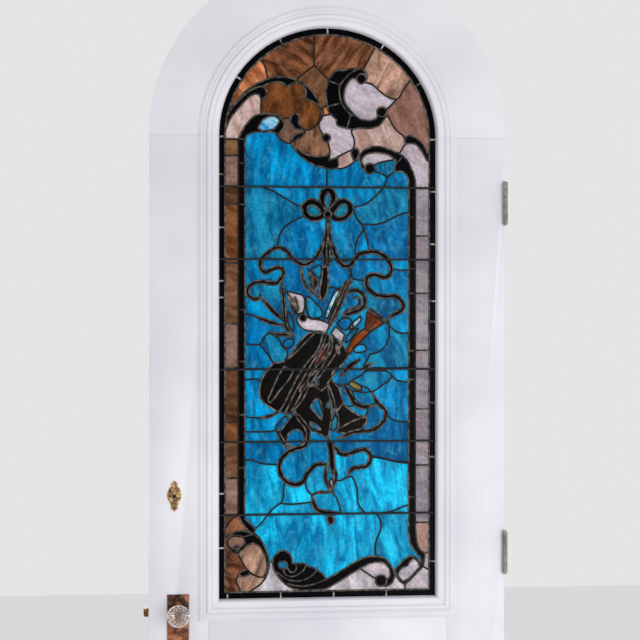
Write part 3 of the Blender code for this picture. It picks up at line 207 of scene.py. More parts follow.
LEADS = (
    # head, left: stem, gable, tan piece, crest and its scallops
    ((-33, 1362), (-33, 1288)),
    ((-77, 1253), (-55, 1272), (-33, 1288), (-15, 1271), (2, 1255)),
    ((-164, 1300), (-153, 1285), (-148, 1262), (-145, 1255)),
    ((-241, 1178), (-216, 1206), (-199, 1224), (-181, 1237), (-168, 1244), (-145, 1254), (-127, 1258),
     (-109, 1259), (-91, 1257), (-77, 1252), (-65, 1247), (-50, 1237), (-36, 1222), (-25, 1206), (-13, 1187)),
    ((-13, 1187), (-20, 1192), (-32, 1199), (-47, 1205), (-55, 1210)),
    ((-55, 1210), (-53, 1226), (-59, 1237), (-70, 1245), (-81, 1246), (-91, 1242), (-99, 1236)),
    ((-99, 1236), (-111, 1245), (-122, 1247), (-138, 1245), (-152, 1239), (-161, 1235)),
    ((-75, 1252), (-69, 1245)),
    ((-14, 1188), (0, 1190)),
    ((104, 1044), (128, 1055), (150, 1060), (170, 1062)),
    ((-19, 1165), (8, 1171)),
    # comma scroll and the bell's left edge
    ((-246, 1160), (-229, 1187), (-211, 1206), (-193, 1222), (-177, 1231), (-163, 1235), (-153, 1231),
     (-149, 1222), (-152, 1211), (-162, 1206)),
    ((-162, 1206), (-168, 1216), (-177, 1217), (-190, 1211), (-204, 1197), (-218, 1181), (-231, 1165),
     (-241, 1147), (-248, 1128)),
    ((-162, 1206), (-162, 1192), (-163, 1180), (-161, 1168)),
    # scroll over the blue field's left shoulder
    ((-217, 1108), (-211, 1122), (-200, 1140), (-190, 1153), (-179, 1163), (-168, 1168), (-154, 1170),
     (-134, 1169), (-122, 1166), (-113, 1158), (-107, 1147), (-108, 1135), (-118, 1124)),
    ((-201, 1108), (-195, 1118), (-184, 1124), (-160, 1126), (-129, 1124), (-122, 1116), (-113, 1107),
     (-102, 1101), (-90, 1098)),
    ((-113, 1158), (-104, 1160), (-91, 1159)),
    # lobe, flower, fruit and crescent
    ((-56, 1132), (-43, 1133), (-32, 1140), (-25, 1149), (-20, 1160), (-18, 1174), (-15, 1188)),
    ((-13, 1187), (-11, 1174), (-15, 1160), (-22, 1146), (-18, 1132), (-11, 1121)),
    ((-56, 1132), (-55, 1126)),
    ((-87, 1100), (-81, 1091), (-72, 1083), (-56, 1074), (-38, 1069), (-20, 1068), (-4, 1070), (4, 1078)),
    ((-92, 1103), (-84, 1089), (-74, 1076), (-59, 1063), (-45, 1054), (-29, 1046), (-13, 1043), (0, 1039),
     (18, 1039), (40, 1041), (54, 1048), (66, 1057), (76, 1062)),
    ((58, 1136), (59, 1124), (64, 1112), (65, 1098), (61, 1087), (50, 1081), (34, 1073), (16, 1064),
     (2, 1059)),
    ((2, 1059), (5, 1073), (4, 1089), (0, 1103)),
    ((22, 1040), (26, 1050), (25, 1061), (27, 1069)),
    ((-2, 1042), (-2, 992)),
    # head, right: the scalloped C, its inner line and the shell
    ((84, 1281), (70, 1283), (52, 1281), (38, 1277)),
    ((38, 1277), (25, 1278), (12, 1268), (1, 1252)),
    ((1, 1252), (-3, 1235), (-5, 1217), (-1, 1190)),
    ((-1, 1190), (1, 1180), (6, 1172), (20, 1159)),
    ((20, 1159), (24, 1144), (43, 1138), (60, 1134)),
    ((60, 1134), (80, 1138), (105, 1138), (124, 1144), (134, 1155), (145, 1170)),
    ((84, 1281), (72, 1280), (61, 1275), (50, 1266), (40, 1255), (30, 1242), (28, 1228), (30, 1212),
     (34, 1197), (42, 1185), (52, 1174), (62, 1166)),
    ((1, 1252), (30, 1242)),
    ((-1, 1190), (34, 1198)),
    ((47, 1138), (56, 1170)),
    ((88, 1250), (109, 1244), (124, 1231), (138, 1220), (152, 1212), (168, 1209)),
    ((168, 1209), (161, 1201), (150, 1190), (143, 1184)),
    ((122, 1172), (120, 1164), (109, 1157), (95, 1157), (81, 1160), (66, 1169), (52, 1185), (43, 1199),
     (39, 1215), (42, 1233), (49, 1247), (58, 1258), (71, 1259)),
    ((84, 1281), (93, 1271), (96, 1260), (88, 1250)),
    ((116, 1335), (104, 1314), (97, 1299), (88, 1285), (84, 1281)),
    ((168, 1209), (174, 1213), (181, 1224), (190, 1239), (203, 1258)),
    ((145, 1183), (146, 1172), (154, 1155), (163, 1140), (172, 1130), (184, 1121), (190, 1110)),
    # scrolls over the blue field's right shoulder
    ((76, 1062), (81, 1075), (91, 1086), (106, 1092), (124, 1094), (143, 1090), (161, 1083), (175, 1077),
     (184, 1071), (197, 1057), (206, 1039), (213, 1020), (215, 1000)),
    ((91, 1046), (84, 1052), (84, 1064), (95, 1074), (109, 1078), (131, 1078), (149, 1073), (161, 1065),
     (168, 1056), (164, 1046), (164, 1033), (179, 1034), (190, 1029), (197, 1016), (199, 1000)),
    ((76, 1062), (80, 1050), (84, 1040), (91, 1035)),
    ((113, 1033), (125, 1030), (145, 1020)),
    ((64, 946), (88, 952), (100, 959), (113, 970), (124, 980), (134, 992), (141, 1004), (145, 1018),
     (164, 1033)),
    ((171, 1055), (182, 1069)),
    ((190, 1100), (189, 1112), (200, 1121), (213, 1118), (225, 1109), (236, 1095), (246, 1075)),
    ((190, 1100), (204, 1102), (215, 1100), (225, 1091), (234, 1079), (244, 1058)),
    ((176, 1078), (184, 1091), (190, 1100)),
    # side strips
    ((-217, 1108), (-217, 205)),
    ((-201, 1108), (-201, 192)),
    ((-249, 1108), (-217, 1108)),
    ((-217, 1108), (-201, 1108)),
    ((215, 1000), (215, 205)),
    ((199, 1000), (199, 152)),
    # blue field, upper part
    ((-201, 994), (199, 994)),
    ((-160, 993), (-134, 984), (-106, 968), (-77, 951), (-65, 948)),
    ((-61, 921), (-77, 915), (-91, 907), (-106, 896), (-115, 882), (-120, 868), (-122, 850)),
    ((62, 942), (66, 929), (75, 914), (84, 904), (88, 895), (80, 880), (73, 868), (68, 852), (66, 835)),
    ((88, 895), (93, 879), (97, 862), (100, 842)),
    ((84, 905), (99, 904), (120, 905), (141, 911), (159, 920), (177, 929), (199, 934)),
    # lines of the bow's tails
    ((18, 840), (26, 823), (38, 815), (52, 818), (66, 823)),
    ((0, 919), (0, 880), (-3, 850), (-2, 803)),
    ((0, 880), (5, 850), (4, 804)),
    # leads of the field beside the ribbons
    ((107, 342), (130, 336), (165, 327), (199, 322)),
    ((-201, 819), (-162, 819)),
    ((-165, 819), (-98, 819)),
    ((-80, 819), (-30, 819)),
    ((148, 819), (199, 819)),
    ((160, 797), (181, 793), (199, 794)),
    ((60, 800), (58, 783), (63, 772), (76, 769), (95, 769)),
    ((51, 799), (56, 785), (50, 766)),
    ((-201, 688), (-185, 684), (-176, 681)),
    ((150, 660), (167, 644), (181, 640), (199, 641)),
    ((147, 674), (150, 660)),
    ((150, 660), (151, 640), (147, 621), (138, 605), (125, 594), (105, 589), (88, 588), (70, 591), (56, 592)),
    # neck of the violin and the leaves round it
    ((53, 772), (42, 748), (33, 727), (23, 705), (14, 684), (4, 662)),
    ((0, 746), (10, 752), (22, 748), (35, 753)),
    # panes beside the horn
    ((80, 681), (88, 690), (95, 692)),
    ((60, 668), (62, 652), (56, 643)),
    # panes left of the violin
    ((-201, 613), (-179, 613), (-165, 613), (-155, 630), (-143, 639), (-130, 635), (-117, 624), (-110, 608),
     (-100, 600), (-98, 585), (-105, 571)),
    ((-165, 613), (-150, 595), (-138, 577), (-130, 567)),
    ((-143, 639), (-141, 644)),
    ((-201, 554), (-150, 553)),
    ((-201, 528), (-168, 528), (-161, 522)),
    # sound hole, purfling and strings of the violin
    ((-32, 640), (-58, 614), (-82, 590), (-100, 575)),
    ((-118, 450), (-108, 465), (-98, 485), (-88, 505), (-78, 525), (-70, 540), (-60, 555), (-45, 575),
     (-30, 592), (-18, 615), (-12, 640)),
    ((-104, 447), (-94, 466), (-84, 488), (-74, 507), (-62, 527), (-50, 548), (-38, 568), (-24, 590),
     (-10, 615), (-3, 638)),
    ((-92, 448), (-80, 465), (-68, 487), (-58, 507), (-48, 527), (-36, 547), (-22, 568), (-8, 590),
     (2, 612), (6, 632)),
    # pegs and bow beside the violin
    ((38, 624), (30, 606), (18, 588), (4, 567), (-10, 548), (-24, 529)),
    ((46, 578), (34, 563), (20, 548), (6, 528), (-4, 508)),
    # stems and leaves below the violin
    ((-37, 500), (-24, 484), (-14, 455), (-8, 430), (-4, 400), (0, 386)),
    ((0, 522), (2, 495), (9, 470), (9, 445), (8, 425), (4, 400), (2, 386)),
    ((-62, 460), (-50, 450), (-35, 430), (-15, 405), (-1, 388)),
    ((26, 408), (45, 418), (65, 428), (94, 437)),
    ((22, 450), (38, 470)),
    ((16, 520), (30, 512), (50, 516)),
    # panes right of the pipe
    ((45, 462), (60, 463), (75, 468), (97, 463), (112, 468), (121, 470)),
    ((97, 463), (98, 447), (92, 438)),
    ((50, 508), (60, 500), (72, 498), (95, 496), (108, 498)),
    ((60, 500), (66, 482), (75, 470)),
    ((58, 524), (66, 528), (80, 537), (95, 548), (125, 548), (148, 546), (158, 536)),
    ((158, 536), (148, 522), (135, 514), (120, 503), (108, 498), (95, 508), (82, 512)),
    ((158, 536), (168, 526), (185, 522), (199, 520)),
    ((95, 548), (110, 555), (150, 554), (199, 556)),
    ((95, 548), (88, 560), (95, 572), (104, 588)),
    ((142, 448), (152, 434), (165, 427), (180, 424), (199, 425)),
    # lower left panes
    ((-201, 437), (-165, 436)),
    ((-201, 402), (-150, 402), (-124, 405)),
    ((-201, 378), (-112, 378)),
    ((-58, 378), (0, 378)),
    ((104, 378), (199, 378)),
    ((-201, 335), (-180, 332), (-160, 325), (-120, 322)),
    ((-104, 284), (-107, 262), (-108, 240), (-113, 230), (-125, 222), (-138, 210), (-150, 195), (-162, 180),
     (-178, 166)),
    ((-113, 228), (-90, 226), (-60, 228), (-38, 231)),
    ((-54, 283), (-52, 265), (-45, 254), (-36, 246)),
    # lower right panes
    ((12, 254), (22, 240), (28, 222), (32, 205)),
    ((20, 282), (35, 283), (48, 290), (60, 291), (66, 280), (72, 262), (73, 245), (74, 230), (80, 216),
     (92, 204)),
    ((104, 338), (130, 336), (150, 333), (165, 328), (199, 327)),
    ((-201, 202), (199, 202)),
    ((130, 202), (150, 204), (170, 210), (185, 217), (199, 221)),
    ((3, 177), (-1, 160), (-5, 140), (-12, 125), (-25, 105), (-40, 90), (-52, 80)),
    ((118, 202), (126, 190), (131, 175), (129, 158), (121, 140), (117, 122), (117, 108), (119, 97)),
    # foot, left: strip's end, crescent, eye and the big C
    ((-217, 205), (-212, 190), (-200, 172), (-190, 160), (-178, 157)),
    ((-201, 192), (-190, 182), (-176, 167)),
    ((-176, 167), (-178, 157), (-164, 143)),
    ((-249, 168), (-240, 182), (-230, 193), (-217, 200)),
    ((-249, 146), (-237, 153), (-225, 160), (-208, 163), (-190, 160)),
    ((-237, 153), (-222, 151), (-205, 148), (-190, 153), (-176, 155)),
    ((-217, 107), (-203, 121), (-190, 131), (-178, 132), (-165, 124), (-156, 110), (-150, 95), (-147, 78),
     (-150, 62), (-157, 50)),
    ((-176, 155), (-164, 143), (-155, 128), (-148, 112), (-143, 95), (-142, 78), (-146, 60), (-154, 44),
     (-165, 32), (-178, 23), (-190, 15)),
    ((-217, 107), (-208, 90), (-200, 75), (-190, 64), (-172, 53), (-157, 50), (-150, 52)),
    ((-217, 107), (-228, 112)),
    ((-217, 55), (-222, 45), (-215, 25), (-212, 15)),
    ((-190, 62), (-178, 56)),
    # foot, middle: fan with its ribs, then the long S
    ((-142, 88), (-134, 86)),
    ((-134, 86), (-131, 70), (-118, 48), (-105, 35), (-88, 23), (-70, 18), (-45, 16), (-20, 18), (0, 22),
     (20, 32), (45, 47), (62, 58), (80, 67), (100, 78), (120, 83), (138, 80), (149, 70), (154, 56),
     (153, 46), (146, 40)),
    ((-134, 86), (-133, 94), (-125, 105), (-113, 114), (-102, 113), (-92, 105), (-86, 92), (-87, 82)),
    ((-87, 82), (-72, 82), (-60, 82), (-50, 78), (-42, 73), (-30, 70), (-22, 62), (-8, 52), (-5, 42),
     (20, 55), (45, 70), (70, 85), (95, 95), (115, 97), (130, 95), (145, 87), (155, 75), (162, 62),
     (165, 48), (161, 36), (150, 25), (138, 22)),
    ((-97, 72), (-92, 62), (-82, 62), (-76, 70), (-77, 82)),
    ((-108, 64), (-100, 54), (-85, 51), (-70, 57), (-57, 68), (-52, 79)),
    ((-122, 62), (-108, 50), (-92, 42), (-70, 40), (-50, 45), (-35, 55), (-25, 66)),
    ((-100, 34), (-75, 28), (-50, 28), (-25, 34), (-5, 42)),
    ((80, 67), (95, 57), (110, 47), (119, 42)),
    # foot, right: heart and the strip's end
    ((163, 60), (170, 68), (180, 80), (192, 90), (205, 96), (216, 93), (226, 82), (235, 70)),
    ((235, 70), (222, 57), (210, 45), (198, 33), (190, 27)),
    ((163, 60), (168, 56), (170, 46), (178, 35), (190, 27)),
    ((190, 27), (190, 15)),
    ((199, 152), (203, 130), (210, 115), (220, 102), (228, 92), (235, 70)),
    ((215, 205), (216, 170), (218, 140), (222, 122), (232, 108), (240, 103), (249, 105)),
    ((235, 70), (238, 88), (240, 103)),
    ((235, 70), (249, 62)),
)

# Single panes and small figures: the kind of glass, then the outline
FIGURES = (
    # jewel, hook, small leaves and hooks of the head
    ("jewel", ((-170, 1135), (-159, 1153), (-145, 1162), (-129, 1164), (-119, 1156), (-121, 1145),
               (-130, 1135), (-145, 1129), (-160, 1129))),
    ("black", ((-91, 1158), (-86, 1168), (-78, 1172), (-71, 1167), (-72, 1151), (-65, 1140), (-56, 1132),
               (-74, 1133), (-84, 1139), (-90, 1150))),
    ("black", ((-90, 1106), (-81, 1118), (-72, 1122), (-55, 1126), (-61, 1116), (-72, 1111), (-84, 1104))),
    ("black", ((61, 1087), (67, 1089), (75, 1086), (76, 1076), (72, 1064), (63, 1056), (61, 1066),
               (57, 1076))),
    # bow loops and their panes, then the bow's tail
    ("black", ((-2, 935), (-9, 943), (-16, 954), (-27, 962), (-38, 966), (-49, 964), (-57, 957), (-65, 948),
               (-62, 938), (-59, 927), (-52, 918), (-40, 912), (-24, 912), (-11, 918), (-2, 926))),
    ("teal", ((-49, 945), (-41, 950), (-32, 949), (-22, 941), (-15, 933), (-20, 927), (-32, 923), (-43, 927),
              (-50, 936))),
    ("black", ((2, 935), (7, 945), (16, 955), (27, 964), (40, 967), (50, 962), (59, 954), (63, 943),
               (59, 930), (50, 920), (36, 912), (20, 912), (7, 918), (2, 926))),
    ("teal", ((15, 930), (24, 943), (34, 953), (45, 951), (49, 941), (45, 930), (34, 923), (22, 923))),
    ("black", ((-4, 942), (-16, 955), (-21, 967), (-19, 979), (-11, 990), (0, 994), (11, 990), (19, 979),
               (21, 967), (16, 955), (4, 942))),
    ("cyan", ((0, 983), (-6, 972), (-7, 959), (-4, 946), (0, 939), (4, 946), (7, 959), (6, 972))),
    ("black", ((-3, 922), (-7, 884), (-12, 862), (-18, 846), (-12, 828), (-8, 806), (0, 803), (6, 806),
               (9, 826), (17, 842), (11, 862), (7, 884), (3, 922))),
    # leaves of the trophy
    ("cyan", ((-42, 794), (-20, 806), (-16, 799), (-16, 776), (-24, 774), (-33, 784))),
    ("smoke", ((-42, 776), (-33, 782), (-25, 770), (-25, 752), (-30, 745), (-38, 758))),
    ("dark", ((-13, 800), (0, 803), (1, 770), (0, 746), (-12, 715), (-20, 735), (-15, 770))),
    ("jewel", ((28, 748), (17, 738), (6, 717), (-3, 695), (-7, 678), (0, 676), (10, 699), (20, 721),
               (29, 738))),
    ("cyan", ((-51, 731), (-40, 724), (-26, 710), (-15, 696), (-13, 683), (-22, 677), (-42, 678), (-49, 689),
              (-53, 706), (-53, 724))),
    # sheet of music and its curl, banner
    ("white", ((-99, 741), (-80, 737), (-60, 730), (-56, 716), (-57, 700), (-61, 689), (-75, 687), (-82, 703),
               (-90, 720))),
    ("dark", ((-97, 733), (-90, 729), (-81, 703), (-75, 687), (-80, 685), (-90, 706))),
    ("dark", ((-82, 728), (-77, 727), (-70, 700), (-72, 692), (-76, 702))),
    ("white", ((-70, 685), (-75, 674), (-70, 660), (-60, 650), (-40, 645), (-20, 641), (-8, 639), (0, 648),
               (5, 662), (-10, 669), (-25, 673), (-42, 675), (-52, 682), (-60, 688))),
    ("white", ((8, 640), (14, 648), (19, 656), (30, 647), (41, 637), (37, 622), (33, 613), (22, 624))),
    # violin, its neck, and the pegs and bow beside it
    ("dark", ((-118, 450), (-137, 459), (-152, 470), (-162, 482), (-166, 495), (-165, 510), (-160, 528),
              (-152, 543), (-142, 556), (-132, 567), (-118, 569), (-105, 572), (-98, 578), (-88, 592),
              (-76, 608), (-62, 626), (-48, 639), (-25, 645), (-5, 640), (8, 630), (12, 612), (6, 592),
              (-6, 570), (-20, 550), (-32, 532), (-44, 512), (-54, 492), (-66, 472), (-82, 455), (-95, 447))),
    ("dark", ((12, 612), (13, 628), (22, 626), (35, 616), (45, 598), (52, 588), (44, 575), (30, 560),
              (18, 545), (8, 530), (-4, 510), (-16, 500), (-30, 512), (-40, 520), (-32, 532), (-20, 550),
              (-6, 570), (6, 592))),
    ("smoke", ((46, 768), (35, 753), (24, 731), (14, 708), (6, 689), (-2, 667), (8, 656), (22, 681),
               (32, 701), (42, 724), (50, 746), (60, 766), (53, 773))),
    ("dark", ((-105, 560), (-113, 548), (-121, 535), (-130, 515), (-140, 492), (-145, 478), (-140, 472),
              (-128, 485), (-118, 500), (-105, 515), (-95, 528), (-84, 548))),
    ("red", ((-66, 497), (-57, 503), (-47, 519), (-50, 525), (-58, 516), (-68, 503))),
    ("red", ((-31, 562), (-22, 565), (-12, 579), (1, 599), (5, 613), (-1, 614), (-10, 602), (-24, 580))),
    ("white", ((-46, 535), (-36, 541), (-26, 550), (-31, 552), (-38, 546), (-46, 539))),
    ("white", ((-12, 567), (-6, 572), (8, 592), (4, 593), (-8, 577))),
    ("white", ((10, 538), (16, 542), (26, 554), (21, 555), (12, 545))),
    ("white", ((19, 611), (24, 613), (30, 590), (25, 587))),
    # horn and the panes round it
    ("horn", ((97, 692), (108, 688), (122, 678), (137, 664), (124, 655), (114, 649), (103, 642), (92, 652),
              (94, 667), (95, 681))),
    ("horn", ((103, 642), (92, 652), (81, 645), (67, 633), (55, 615), (46, 598), (54, 588), (64, 602),
              (78, 617), (92, 630))),
    ("deep_blue", ((22, 664), (35, 675), (52, 676), (60, 668), (52, 655), (45, 647), (33, 652))),
    ("jewel", ((53, 649), (60, 664), (71, 674), (80, 681), (81, 671), (72, 660), (62, 652))),
    ("cyan", ((43, 616), (46, 631), (60, 646), (76, 653), (67, 640), (53, 622))),
    # small leaves left of the violin
    ("deep_blue", ((-108, 620), (-98, 626), (-83, 625), (-84, 612), (-95, 603), (-106, 608))),
    ("cyan", ((-97, 694), (-88, 682), (-83, 664), (-83, 645), (-92, 653), (-97, 670))),
    # stems, pipe and leaves below the violin
    ("dark", ((-82, 455), (-66, 472), (-54, 492), (-44, 512), (-30, 512), (-16, 500), (-4, 510), (0, 522),
              (10, 495), (18, 470), (14, 450), (8, 425), (4, 400), (0, 386), (-20, 396), (-40, 405),
              (-50, 418), (-66, 432))),
    ("dark", ((0, 520), (8, 529), (28, 505), (35, 480), (45, 462), (60, 450), (75, 441), (94, 437),
              (96, 428), (88, 414), (75, 405), (60, 401), (40, 398), (22, 400), (26, 412), (27, 430),
              (22, 450), (18, 470), (10, 495))),
    ("dark", ((-104, 447), (-86, 446), (-68, 434), (-54, 414), (-50, 395), (-54, 374), (-66, 362),
              (-90, 360), (-104, 374), (-118, 396), (-108, 413), (-95, 430))),
    ("cyan", ((-42, 458), (-38, 470), (-28, 481), (-20, 478), (-15, 465), (-13, 445), (-15, 430), (-24, 440),
              (-34, 452))),
    ("cyan", ((0, 472), (6, 477), (8, 466), (3, 458), (-3, 462))),
    ("cyan", ((18, 444), (24, 430), (23, 415), (16, 402), (9, 408), (12, 428))),
    ("deep_blue", ((-44, 425), (-30, 420), (-16, 406), (-28, 407), (-40, 415))),
    ("cyan", ((-126, 412), (-118, 425), (-105, 438), (-92, 447), (-85, 443), (-95, 430), (-108, 413),
              (-118, 398))),
    ("cyan", ((-31, 536), (-24, 530), (-22, 514), (-29, 520))),
    ("blue", ((-100, 385), (-95, 397), (-85, 405), (-72, 406), (-62, 399), (-58, 387), (-62, 375),
              (-70, 367), (-82, 364), (-93, 368), (-99, 376))),
    ("jewel", ((62, 604), (78, 613), (92, 611), (95, 598), (80, 593), (66, 595))),
    ("blush", ((-115, 753), (-108, 749), (-102, 742), (-106, 733), (-114, 737))),
    ("leaf", ((50, 516), (58, 524), (68, 520), (82, 511), (84, 502), (73, 502), (60, 508))),
    # drops of the lower field
    ("white", ((9, 290), (13, 280), (12, 268), (8, 266), (5, 278))),
    ("dark", ((0, 197), (12, 195), (16, 187), (9, 176), (3, 176), (-1, 186))),
    # foot: eye, fan's eye, small leaf and heart
    ("mauve", ((-242, 130), (-240, 143), (-230, 150), (-215, 151), (-205, 147), (-201, 138), (-206, 128),
               (-218, 121), (-230, 120))),
    ("black", ((-236, 118), (-228, 125), (-215, 128), (-213, 120), (-224, 112), (-234, 112))),
    ("black", ((-217, 58), (-208, 66), (-195, 68), (-188, 60), (-197, 54), (-208, 53))),
    ("cyan", ((-120, 82), (-112, 88), (-103, 87), (-97, 79), (-101, 71), (-110, 70), (-119, 75))),
    ("white", ((175, 58), (183, 68), (195, 72), (203, 83), (212, 90), (221, 83), (227, 70), (215, 56),
               (201, 43), (193, 38), (184, 35), (177, 43), (173, 51))),
)

# Round drops of black glass: centre and radius
DROPS = ((-4, 1113, 10), (82, 1258, 12), (132, 1178, 12), (103, 1040, 13), (0, 928, 9), (-60, 678, 9),
         (131, 37, 14))

# Ribbons and scrolls of black glass: width in mm, then the centre line
RIBBONS = (
    (8, ((-8, 862), (-17, 844), (-28, 826), (-43, 811), (-60, 806), (-76, 813), (-87, 822), (-95, 834),
         (-107, 843), (-122, 847), (-137, 841), (-150, 831), (-160, 820),
         (-165, 808), (-162, 795), (-153, 787), (-141, 791), (-130, 797), (-118, 798), (-109, 793),
         (-108, 781), (-116, 770), (-126, 761), (-140, 761), (-158, 764), (-175, 762), (-188, 756),
         (-195, 744), (-192, 731), (-183, 724), (-172, 722), (-164, 727), (-164, 735))),
    (9, ((8, 862), (14, 844), (21, 826), (32, 808), (46, 802), (58, 808), (66, 820), (76, 831), (92, 836),
         (110, 838), (127, 834),
         (142, 824), (151, 812), (156, 798), (154, 786), (146, 777), (134, 776), (122, 781), (111, 782),
         (100, 779), (95, 769), (95, 757), (102, 745), (114, 736), (130, 730), (148, 729), (164, 731),
         (176, 724), (183, 713), (186, 703), (180, 694), (168, 689), (156, 680), (147, 674))),
    (7, ((-112, 768), (-109, 735), (-106, 700), (-104, 670), (-98, 648), (-82, 634))),
    (9, ((-162, 727), (-148, 710), (-133, 694), (-118, 680), (-106, 668))),
    (8, ((-176, 681), (-155, 672), (-135, 665), (-115, 660), (-103, 657))),
    (8, ((-141, 643), (-120, 637), (-100, 636), (-82, 634))),
    (6, ((-61, 800), (-63, 783), (-58, 765), (-48, 748), (-32, 735), (-18, 722))),
    (5, ((-48, 797), (-43, 780), (-40, 765), (-36, 750), (-26, 736))),
    (8, ((42, 735), (53, 739), (64, 744), (78, 741), (88, 732), (91, 717), (88, 704), (74, 694), (60, 690),
         (46, 685), (34, 678))),
    (5, ((62, 724), (71, 730), (78, 722), (77, 710), (67, 702), (52, 697), (36, 688))),
    (6, ((90, 703), (105, 696), (122, 685), (140, 669), (150, 660))),
    (7, ((-165, 436), (-145, 438), (-118, 450))),
    (8, ((-126, 412), (-116, 390), (-106, 374), (-92, 358))),
    (9, ((-82, 452), (-66, 430), (-52, 412), (-47, 395), (-50, 378), (-58, 366), (-80, 360), (-97, 352),
         (-110, 339), (-117, 325), (-117, 310), (-113, 297), (-104, 284), (-90, 275), (-78, 273), (-66, 276),
         (-56, 285), (-51, 297), (-44, 307), (-35, 316), (-22, 322), (-8, 322), (4, 322))),
    (8, ((24, 384), (45, 392), (62, 399), (80, 402), (100, 403), (118, 408), (132, 420), (142, 435),
         (142, 450), (133, 461), (122, 470), (116, 482), (108, 498))),
    (11, ((31, 536), (46, 552), (63, 566), (79, 576))),
    (10, ((82, 550), (95, 559), (113, 568))),
    (10, ((34, 517), (46, 504), (57, 486), (67, 469), (88, 461), (113, 464))),
    (13, ((0, 390), (5, 370), (9, 350), (10, 330), (11, 312), (12, 296))),
    (7, ((-4, 322), (-6, 300), (-4, 282), (2, 266), (8, 254))),
    (7, ((15, 318), (20, 300), (19, 285), (13, 266), (10, 254))),
    (9, ((-38, 250), (-36, 235), (-30, 218), (-18, 208), (5, 204), (32, 203))),
    (6, ((-36, 249), (-20, 254), (-5, 254), (12, 254))),
    (8, ((9, 372), (20, 362), (28, 350), (42, 345), (55, 348), (72, 354), (90, 357), (100, 350), (105, 340),
         (103, 328), (95, 317), (80, 314), (65, 312), (54, 304), (48, 291))),
)

# Joints across the black border and the side strips
RING_JOINT_DEGREES = (146.9, 116.3, 90.2, 59.0, 30.8)
LEFT_BORDER_JOINTS = (1114, 1023, 895, 766, 726, 253, 122)
RIGHT_BORDER_JOINTS = (1112, 985, 857, 718, 668, 470, 338, 83)
FOOT_BORDER_JOINTS = (-243, -114, 15, 144)
STRIP_JOINTS = (
    (-249, -217, (1068, 993, 951, 810, 663, 557, 425, 378, 290, 202)),
    (-217, -201, (1050, 951, 697, 572, 443, 315)),
    (199, 215, (922, 797, 737, 597, 527, 240)),
    (215, 249, (993, 877, 819, 737, 598, 553, 455, 378, 318, 202, 178)),
)

# Kinds of glass: the piece each belongs to, its body and streak colours, how far the shade of
# its panes varies, and which way its streaks run, in degrees from upright
GLASS = {
    "black": ("black_glass_panes", "#020204", "#06060A", 0.1, 0),
    "dark": ("brown_glass_panes", "#040303", "#160E0B", 0.3, -35),
    "smoke": ("brown_glass_panes", "#1B1513", "#5A524B", 0.2, -30),
    "strip_brown": ("brown_glass_panes", "#5A341B", "#B37C54", 0.04, 80),
    "strip_white": ("lilac_glass_panes", "#988E9A", "#B8B0B7", 0.08, 80),
    "white": ("lilac_glass_panes", "#BAB1BD", "#DDD3DB", 0.05, 60),
    "grey": ("lilac_glass_panes", "#BCB8BF", "#E7E3E8", 0.08, 30),
    "blush": ("lilac_glass_panes", "#B79488", "#E4D0CC", 0.06, 20),
    "blue": ("blue_glass_panes", "#006DA4", "#00BAEB", 0.08, 5),
    "low_blue": ("blue_glass_panes", "#0188BA", "#22E2FF", 0.06, 10),
    "deep_blue": ("blue_glass_panes", "#005C93", "#0098D1", 0.06, 5),
    "cyan": ("blue_glass_panes", "#026294", "#1CA6CB", 0.06, 10),
    "teal": ("blue_glass_panes", "#056687", "#1B9DBA", 0.1, 10),
    "jewel": ("blue_glass_panes", "#2BAADB", "#EDFFFF", 0.05, 40),
    "orange": ("amber_glass_panes", "#9A5227", "#F2AC78", 0.06, 40),
    "rust": ("amber_glass_panes", "#4F2815", "#BF7E55", 0.05, 60),
    "fan": ("amber_glass_panes", "#60351E", "#BC815C", 0.05, -35),
    "gable": ("amber_glass_panes", "#65432A", "#976A49", 0.05, -40),
    "brown": ("amber_glass_panes", "#5B3214", "#9A5F31", 0.04, -10),
    "fruit": ("amber_glass_panes", "#5D341E", "#C19373", 0.05, -20),
    "clay": ("amber_glass_panes", "#6B4A41", "#967364", 0.05, 30),
    "mauve": ("amber_glass_panes", "#8A6457", "#B2897C", 0.05, 30),
    "tan": ("amber_glass_panes", "#7D5F4D", "#DDB8A3", 0.06, -25),
    "horn": ("amber_glass_panes", "#6A2A04", "#9E4A0C", 0.1, -40),
    "red": ("amber_glass_panes", "#761812", "#A82C20", 0.1, -35),
    "leaf": ("amber_glass_panes", "#8E8048", "#D4C890", 0.1, 40),
}
# Browns of the side strip's sheet glass, used in turn from the foot up
STRIP_BROWNS = (("#4A2A1A", "#80563A"), ("#8A685A", "#B3948A"), ("#6C4630", "#9E7656"),
                ("#704424", "#A66E46"))
GLASS_PIECES = (
    ("black_glass_panes", "black_glass", ("border_glass_left", "border_glass_right", "border_glass_bottom",
                                          "border_glass_arch", "inner_strip_glass_left",
                                          "inner_strip_glass_right")),
    ("brown_glass_panes", "brown_glass", ("brown_strip_glass",)),
    ("lilac_glass_panes", "lilac_glass", ("lilac_strip_glass",)),
    ("blue_glass_panes", "blue_glass", ("blue_field_glass",)),
    ("amber_glass_panes", "amber_glass", ("head_glass", "foot_glass")),
)

